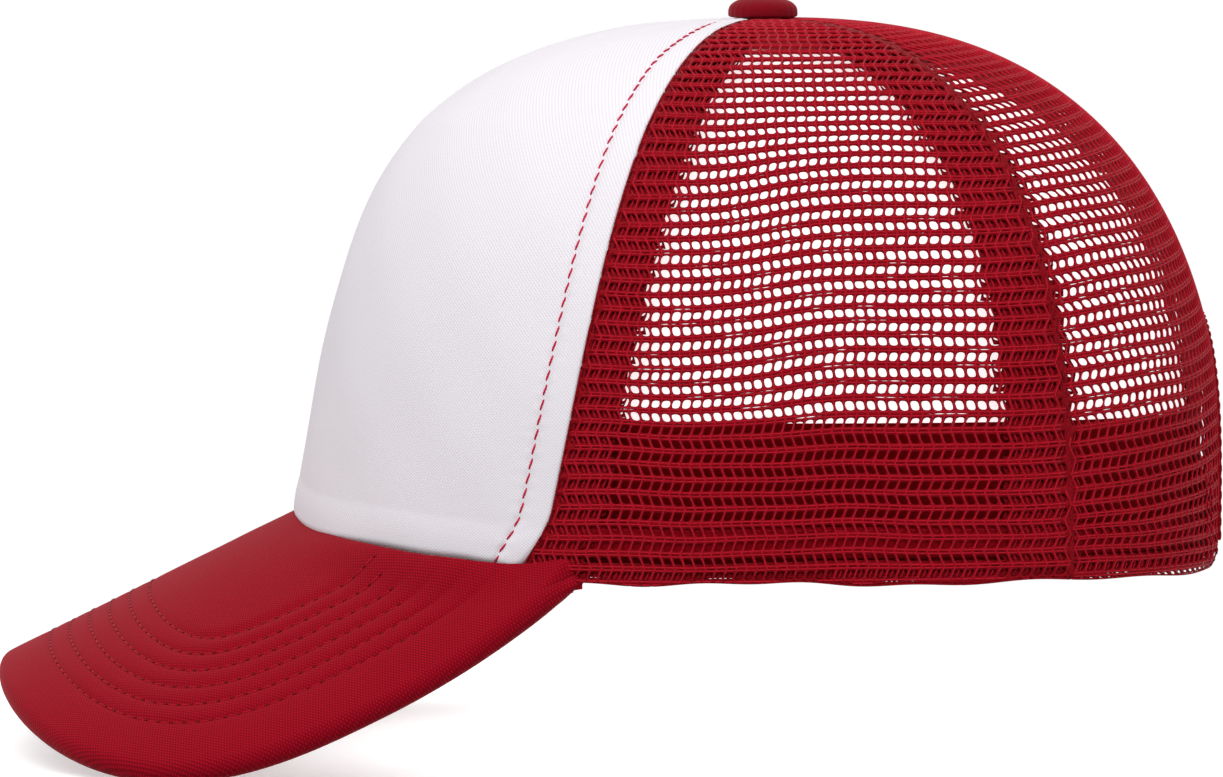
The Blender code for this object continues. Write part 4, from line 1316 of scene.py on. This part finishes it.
def band_foot(azimuth):
    """Height of the crown's lower edge behind the bill and beside it."""
    behind_bill = face_foot(azimuth) - 2.6 * MM
    fade = 1 - smoothstep(BILL_CORNER, BILL_CORNER + math.radians(12), np.abs(azimuth))
    return np.maximum(behind_bill * fade, 0) + BAND_LIFT


def back_at(x, height, depth):
    """Azimuth of the points of the crown's back at an x and a height, at a depth below the surface."""
    rise = rise_at_height(height)
    azimuth = BACK_AZIMUTH - x / CROWN_BACK_REACH
    for _ in range(12):
        point = crown_point(azimuth, rise, np.full_like(azimuth, -depth))
        azimuth = azimuth - (x - point[..., 0]) / CROWN_BACK_REACH
    return azimuth


def on_back(x, height, depth):
    azimuth, rise = back_at(x, height, depth), rise_at_height(height)
    return crown_point(azimuth, rise, np.full_like(azimuth, -depth)), crown_normal(azimuth, rise)


def make_sweatband():
    """The band runs to the opening's edge, and passes inside the strap's tabs."""
    heights = np.linspace(BAND_LIFT, BAND_LIFT + BAND_HEIGHT, 34)[:, None]
    opening = HALF_MOON_HALF_WIDTH * np.sqrt(1 - (heights / HALF_MOON_HEIGHT) ** 2) + 1.6 * MM
    end = back_at(opening, heights, BAND_TAB_DEPTH)
    azimuth = np.linspace(-1, 1, 461) * end
    share = np.linspace(0, 1, 34)[:, None] * np.ones_like(azimuth)
    rise = rise_at_height(band_foot(azimuth[0]) + BAND_HEIGHT * share)
    front = smoothstep(math.radians(50), math.radians(74), np.abs(azimuth))
    depth = BAND_FRONT_DEPTH + (BAND_SIDE_DEPTH - BAND_FRONT_DEPTH) * front
    tab = back_azimuth(TAB_END)
    depth += (BAND_TAB_DEPTH - BAND_SIDE_DEPTH) * smoothstep(tab - 0.07, tab - 0.005, np.abs(azimuth))
    up = share * BAND_HEIGHT
    crease = groove(up, 2.2 * MM, 0.8 * MM, 0.12 * MM)
    crease = crease + groove(up, BAND_HEIGHT - 2.2 * MM, 0.8 * MM, 0.12 * MM)
    pucker = 0.06 * MM * np.sin(azimuth * 63) * np.sin(share * np.pi)
    proud = -depth - 0.1 * MM - crease + pucker
    weave = np.stack([azimuth * 92 * MM, up], -1)
    points = crown_point(azimuth, rise, proud)
    band = new_object("sweatband_cloth", points, grid_faces(*rise.shape), band_finish, weave)
    settle(soften(thicken(band, BAND_THICKNESS - 0.2 * MM), 0.3 * MM), "sweatband_cloth", "sweatband")
    inner = proud - BAND_THICKNESS + 0.2 * MM
    rows = []
    for row in (2, 31):
        path = crown_point(azimuth[row], rise[row], inner[row])
        rows.append(stitches(path, -crown_normal(azimuth[row], rise[row]), *LONG_STITCH))
    thread = settle(tube_object("sweatband_stitches", rows, 5, thread_finish), "sweatband_cloth")
    return band, thread


def make_binding():
    lowest = math.asin(5 * MM / HALF_MOON_HEIGHT)
    angle = np.linspace(lowest, math.pi - lowest, 240)
    x, z = HALF_MOON_HALF_WIDTH * np.cos(angle), HALF_MOON_HEIGHT * np.sin(angle)
    path, outward = on_back(x, z, 0.4 * MM)
    radii = 1.0 * MM * (1 - 0.06 * np.cos(np.arange(240) * 1.7) ** 2)
    binding = tube_object("half_moon_piping", [(path[None], outward[None], radii[None])], 16, tape_finish)
    settle(binding, "red_tape", "half_moon_binding")
    away = unit(np.stack([x / HALF_MOON_HALF_WIDTH**2, 0 * x, z / HALF_MOON_HEIGHT**2], -1))
    rows = []
    for lift in (outward, -outward):
        line = path + lift * 0.86 * MM + away * 0.45 * MM
        rows.append(stitches(line, unit(lift + 0.5 * away), *BINDING_STITCH))
    settle(tube_object("half_moon_stitches", rows, 5, thread_finish), "red_tape")


sweatband, sweatband_thread = make_sweatband()
make_binding()


# ---------------------------------------------------------------- seams' folded edges


def seam_rolls(name, seam, gap, radius, low_height, finish):
    """The two folded edges that meet at a seam."""
    rise = np.linspace(float(rise_at_height(low_height)), rise_at_radius(8.5 * MM), 260)
    line = seam(rise)
    groups = []
    for side in (-1, 1):
        azimuth = line + side * gap / ring_radius(line, rise)
        uneven = 0.07 * MM * np.sin(rise * 140 + side)
        path = crown_point(azimuth, rise, uneven - radius * 0.8)
        radii = radius * (1 + 0.08 * np.sin(rise * 310 + side * 2))
        groups.append((path[None], crown_normal(azimuth, rise)[None], radii[None]))
    return tube_object(name, groups, 10, finish)


def make_seams():
    side = seam_rolls("side_seam_left", side_seam, 0.45 * MM, 0.42 * MM, 0.3 * MM, seam_edge_shade_finish)
    settle(side, "red_net")
    settle(mirrored(side, "side_seam_right"), "red_net")
    settle(seam_rolls("back_seam", back_seam, 0.45 * MM, 0.42 * MM, 54.5 * MM, seam_edge_shade_finish), "red_net")
    rise = np.linspace(float(rise_at_height(2 * MM)), rise_at_radius(8.5 * MM), 260)
    line = front_seam(rise) + 0.5 * MM / ring_radius(front_seam(rise), rise)
    path = crown_point(line, rise, np.full_like(rise, -0.7 * MM))
    group = (path[None], crown_normal(line, rise)[None], np.full((1, 260), 0.6 * MM))
    front = tube_object("front_seam_left", [group], 10, seam_edge_shade_finish)
    settle(front, "red_net")
    settle(mirrored(front, "front_seam_right"), "red_net")


# The seams' folded edges are the net's red at 0.62: painted shade along the seams.
seam_edge_shade_finish = yarn("red_net_edge", tinted(NET_RED, 0.62))
make_seams()


# ---------------------------------------------------------------- button

BUTTON_RADIUS = 7.6 * MM
BUTTON_HEIGHT = 4.5 * MM
BUTTON_SEAT = CROWN_HEIGHT + 0.3 * MM
BUTTON_CLOTH = 0.5 * MM


def make_button():
    """The covered button, with its cloth gathered under the rim."""
    turn = np.linspace(0, 2 * math.pi, 145)[:-1]
    angle = np.linspace(0.02, math.pi / 2, 30)
    radius = BUTTON_RADIUS * np.sin(angle) ** 0.8
    height = 0.9 * MM + (BUTTON_HEIGHT - 0.9 * MM) * np.cos(angle) ** 0.75
    under = np.array([1, 0.985, 0.93, 0.84, 0.76])
    radius = np.concatenate([[0.05 * MM], radius, BUTTON_RADIUS * under])
    height = np.concatenate([[BUTTON_HEIGHT], height, np.array([0.6, 0.3, 0.08, 0.0, 0.0]) * MM])
    gather = 0.05 * MM * np.sin(turn * 26) * smoothstep(0.55, 1, radius / BUTTON_RADIUS)[:, None]
    wide = radius[:, None] + gather
    points = np.stack(
        [wide * np.cos(turn), wide * np.sin(turn), BUTTON_SEAT + height[:, None] + 0 * wide], -1
    )
    faces = ring_faces(len(radius), len(turn)).tolist()
    faces.append(list(range(len(turn))))
    walked = np.concatenate([[0], np.cumsum(np.hypot(np.diff(radius), np.diff(height)))])[:, None]
    weave = np.stack([walked * np.cos(turn), walked * np.sin(turn)], -1)
    button = thicken(new_object("button_cloth", points, faces, button_finish, weave), BUTTON_CLOTH)
    return settle(button, "red_cloth", "button_cover")


button_finish = twill("red_button_cloth", (0.2, 0.003, 0.009), 0.42 * MM, 0.7, 0.3, 0.25)
button_cloth = make_button()


# ---------------------------------------------------------------- snaps and the strap's sewn ends

STRAP_DEPTH = 1.9 * MM
STRAP_MIDDLE = 11.5 * MM
SNAP_PITCH = 8.5 * MM
SNAPS_CLOSED = 5
SPARE_HOLES = 1
SNAP_HOLE_RADIUS = 2 * MM
STUD_RADIUS = 1.6 * MM
STUD_HEAD_HEIGHT = 0.5 * MM
STUD_PROUD = 0.4 * MM
RIM_WIDTH = 0.9 * MM
RIM_HEIGHT = 0.28 * MM
TAB_SEAM_DISTANCE = 0.0325 + 12 * MM


def on_strap(distance, height, depth):
    """A point of the strap and the outward direction there, by the distance left of the middle."""
    azimuth = np.full(1, math.copysign(back_azimuth(abs(distance)), distance))
    rise = rise_at_height(np.full(1, height))
    return crown_point(azimuth, rise, np.full(1, -depth))[0], crown_normal(azimuth, rise)[0]


def turned_on(centre, outward, profile, steps=32):
    """Points of a round form about an axis, from a profile of radii and heights."""
    side = unit(np.cross(outward, (0, 0, 1.0)))
    up = np.cross(side, outward)
    turn = np.arange(steps) * 2 * math.pi / steps
    spoke = side * np.cos(turn)[:, None] + up * np.sin(turn)[:, None]
    return np.concatenate([centre + radius * spoke + height * outward for radius, height in profile])


def round_forms(name, centres, profile, finish, steps=32):
    points, faces = [], []
    index = np.arange(len(profile) * steps).reshape(len(profile), steps)
    low, high = index[:-1], index[1:]
    walls = np.stack([low, np.roll(low, -1, 1), np.roll(high, -1, 1), high], -1).reshape(-1, 4)
    for number, (centre, outward) in enumerate(centres):
        points.append(turned_on(centre, outward, profile, steps))
        start = number * len(profile) * steps
        faces += (walls + start).tolist()
        faces += [(index[0, ::-1] + start).tolist(), (index[-1] + start).tolist()]
    return new_object(name, np.concatenate(points), faces, finish)


def snap_places(count, depth):
    first = -(SNAPS_CLOSED - 1) / 2 * SNAP_PITCH
    return [on_strap(first + i * SNAP_PITCH, STRAP_MIDDLE, depth) for i in range(count)]


def make_snaps():
    angles = np.linspace(0, math.pi / 2, 7)
    head = [(STUD_RADIUS, 0.0)] + [
        (STUD_RADIUS * 0.2 + STUD_RADIUS * 0.8 * math.cos(a), STUD_HEAD_HEIGHT * math.sin(a))
        for a in angles[1:]
    ]
    places = snap_places(SNAPS_CLOSED, STRAP_DEPTH - STUD_PROUD)
    studs = round_forms("strap_stud_heads", places, head, strap_finish)
    settle(studs, "strap_plastic", body="studded_strap")
    rim = [
        (SNAP_HOLE_RADIUS + RIM_WIDTH * (1 - math.cos(a)) / 2, RIM_HEIGHT * math.sin(a))
        for a in np.linspace(0, math.pi, 9)
    ]
    places = snap_places(SNAPS_CLOSED + SPARE_HOLES, STRAP_DEPTH)
    rims = round_rings("strap_hole_rims", places, rim, strap_finish)
    settle(rims, "strap_plastic", body="holed_strap")


def round_rings(name, centres, profile, finish, steps=32):
    """Rings standing on a surface. They are open below, where they join it."""
    rings = round_forms(name, centres, profile, finish, steps)
    shape = bmesh.new()
    shape.from_mesh(rings.data)
    caps = [face for face in shape.faces if len(face.verts) > 4]
    bmesh.ops.delete(shape, geom=caps, context="FACES_ONLY")
    shape.to_mesh(rings.data)
    shape.free()
    return rings


def make_tab_seams():
    """The upright rows of stitches that hold the strap's fixed ends behind the net."""
    rows = []
    for side in (1, -1):
        for distance in (TAB_SEAM_DISTANCE - 2.6 * MM, TAB_SEAM_DISTANCE):
            azimuth = side * back_azimuth(distance)
            rise = rise_at_height(np.linspace(1.6 * MM, 25 * MM, 60))
            path = crown_point(np.full(60, azimuth), rise, np.full(60, 0.25 * MM))
            normal = crown_normal(np.full(60, azimuth), rise)
            rows.append(stitches(path, normal, *TAB_STITCH))
    settle(tube_object("strap_tab_stitches", rows, 6, thread_finish), "red_tape")


make_snaps()
make_tab_seams()


# ---------------------------------------------------------------- CAD pieces that stay


def refinish(node, finish, round_over=0.0):
    """Gives a CAD piece its detailed material, and rounds its edges."""
    obj = bpy.data.objects[node]
    obj.data.materials.clear()
    obj.data.materials.append(finish)
    if round_over:
        soften(obj, round_over, 2)


for node in ("button_shell", "button_post", "button_washer"):
    refinish(node, metal_finish)
refinish("bill_board", board_finish)
for node in ("strap_holes", "strap_studs", "strap_tab_left", "strap_tab_right"):
    refinish(node, strap_finish, 0.3 * MM)


# ---------------------------------------------------------------- stage


def paper_finish(name, glow_start, glow_end):
    """A pale paper that turns to an even white away from the cap."""
    finish = Finish(name, 0.9)
    place = finish.object_place()
    grain = finish.noise(place, 2 * MM, 2.0)
    finish.colour(finish.ramp(grain, [(0.0, (0.93, 0.93, 0.93)), (1.0, (0.97, 0.97, 0.97))]))
    length = finish.node("ShaderNodeVectorMath", operation="LENGTH")
    finish.link(place, length.inputs[0])
    spread = finish.node("ShaderNodeMapRange")
    spread.inputs["From Min"].default_value = glow_start
    spread.inputs["From Max"].default_value = glow_end
    finish.link(length.outputs["Value"], spread.inputs["Value"])
    glow = finish.node("ShaderNodeEmission")
    glow.inputs["Strength"].default_value = 1.02
    finish.shader.inputs["Emission Color"].default_value = (1, 1, 1, 1)
    finish.shader.inputs["Emission Strength"].default_value = 0.3
    blend = finish.node("ShaderNodeMixShader")
    finish.link(spread.outputs["Result"], blend.inputs[0])
    finish.link(finish.shader.outputs[0], blend.inputs[1])
    finish.link(glow.outputs[0], blend.inputs[2])
    finish.link(blend.outputs[0], finish.tree.nodes["Material Output"].inputs["Surface"])
    return finish.material


def make_floor():
    turn = np.linspace(0, 2 * math.pi, 129)[:-1]
    radii = np.array([0.001, 0.2, 0.4, 0.8, 1.6, 3.0])
    points = np.stack(
        [radii[:, None] * np.cos(turn), radii[:, None] * np.sin(turn), np.full((6, 128), FLOOR_HEIGHT)], -1
    )
    floor = new_object("floor", points, ring_faces(6, 128), paper_finish("floor_paper", 0.12, 0.32))
    floor.visible_diffuse = False


def make_form():
    """A plain white form inside the crown, so that the net's holes read white."""
    azimuth = np.linspace(-math.pi, math.pi, 97)
    rise = np.linspace(float(rise_at_height(FORM_FOOT)), math.pi / 2 - 0.02, 40)
    azimuth, rise = np.meshgrid(azimuth, rise)
    points = crown_point(azimuth, rise, np.full_like(azimuth, -FORM_DEPTH))
    finish = Finish("form_white", 1.0, specular=0.0)
    grain = finish.noise(finish.object_place(), 3 * MM, 2.0)
    finish.colour(finish.ramp(grain, [(0.0, (0.94, 0.94, 0.94)), (1.0, (0.97, 0.97, 0.97))]))
    finish.shader.inputs["Emission Color"].default_value = (1, 1, 1, 1)
    finish.shader.inputs["Emission Strength"].default_value = FORM_GLOW
    new_object("form", points, grid_faces(40, 97), finish.material)


def area_light(name, place, size, power):
    data = bpy.data.lights.new(name, "AREA")
    data.size = size
    data.energy = power
    lamp = bpy.data.objects.new(name, data)
    lamp.location = place
    lamp.rotation_euler = (VIEW_TARGET - Vector(place)).to_track_quat("-Z", "Y").to_euler()
    bpy.context.scene.collection.objects.link(lamp)


FLOOR_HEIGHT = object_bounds()[0][2] - 0.2 * MM
FORM_DEPTH = 7 * MM
FORM_FOOT = 12 * MM
FORM_GLOW = 0.75
VIEW_TARGET = Vector((0, -33.3 * MM, 35.4 * MM))
VIEW_DISTANCE = 1.8
VIEW_RISE = math.radians(4.1)
LENS = 240
AMBIENT_BELOW = 0.15
AMBIENT_ABOVE = 0.95

make_floor()
make_form()
area_light("key", (1.15, -0.65, 1.5), 1.5, 24)
area_light("fill", (1.2, 1.0, 0.25), 1.2, 6)

world = bpy.data.worlds.new("studio")
bpy.context.scene.world = world
world.use_nodes = True
sky = world.node_tree
ambient = sky.nodes["Background"]
ambient.inputs["Color"].default_value = (1, 1, 1, 1)
direction = sky.nodes.new("ShaderNodeTexCoord")
parts = sky.nodes.new("ShaderNodeSeparateXYZ")
height = sky.nodes.new("ShaderNodeMapRange")
height.inputs["From Min"].default_value = -1
height.inputs["To Min"].default_value = AMBIENT_BELOW
height.inputs["To Max"].default_value = AMBIENT_ABOVE
sky.links.new(direction.outputs["Generated"], parts.inputs[0])
sky.links.new(parts.outputs["Z"], height.inputs["Value"])
sky.links.new(height.outputs["Result"], ambient.inputs["Strength"])
seen = sky.nodes.new("ShaderNodeBackground")
seen.inputs["Color"].default_value = (1, 1, 1, 1)
seen.inputs["Strength"].default_value = 1.0
rays = sky.nodes.new("ShaderNodeLightPath")
choice = sky.nodes.new("ShaderNodeMixShader")
sky.links.new(rays.outputs["Is Camera Ray"], choice.inputs[0])
sky.links.new(ambient.outputs[0], choice.inputs[1])
sky.links.new(seen.outputs[0], choice.inputs[2])
sky.links.new(choice.outputs[0], sky.nodes["World Output"].inputs["Surface"])

camera = bpy.data.cameras.new("camera")
camera.lens = LENS
camera.sensor_width = 36
camera.clip_start = 0.05
view = bpy.data.objects.new("camera", camera)
view.location = VIEW_TARGET + VIEW_DISTANCE * Vector((math.cos(VIEW_RISE), 0, math.sin(VIEW_RISE)))
view.rotation_euler = (VIEW_TARGET - view.location).to_track_quat("-Z", "Y").to_euler()
bpy.context.scene.collection.objects.link(view)
bpy.context.scene.camera = view
bpy.context.scene.view_settings.view_transform = "Standard"
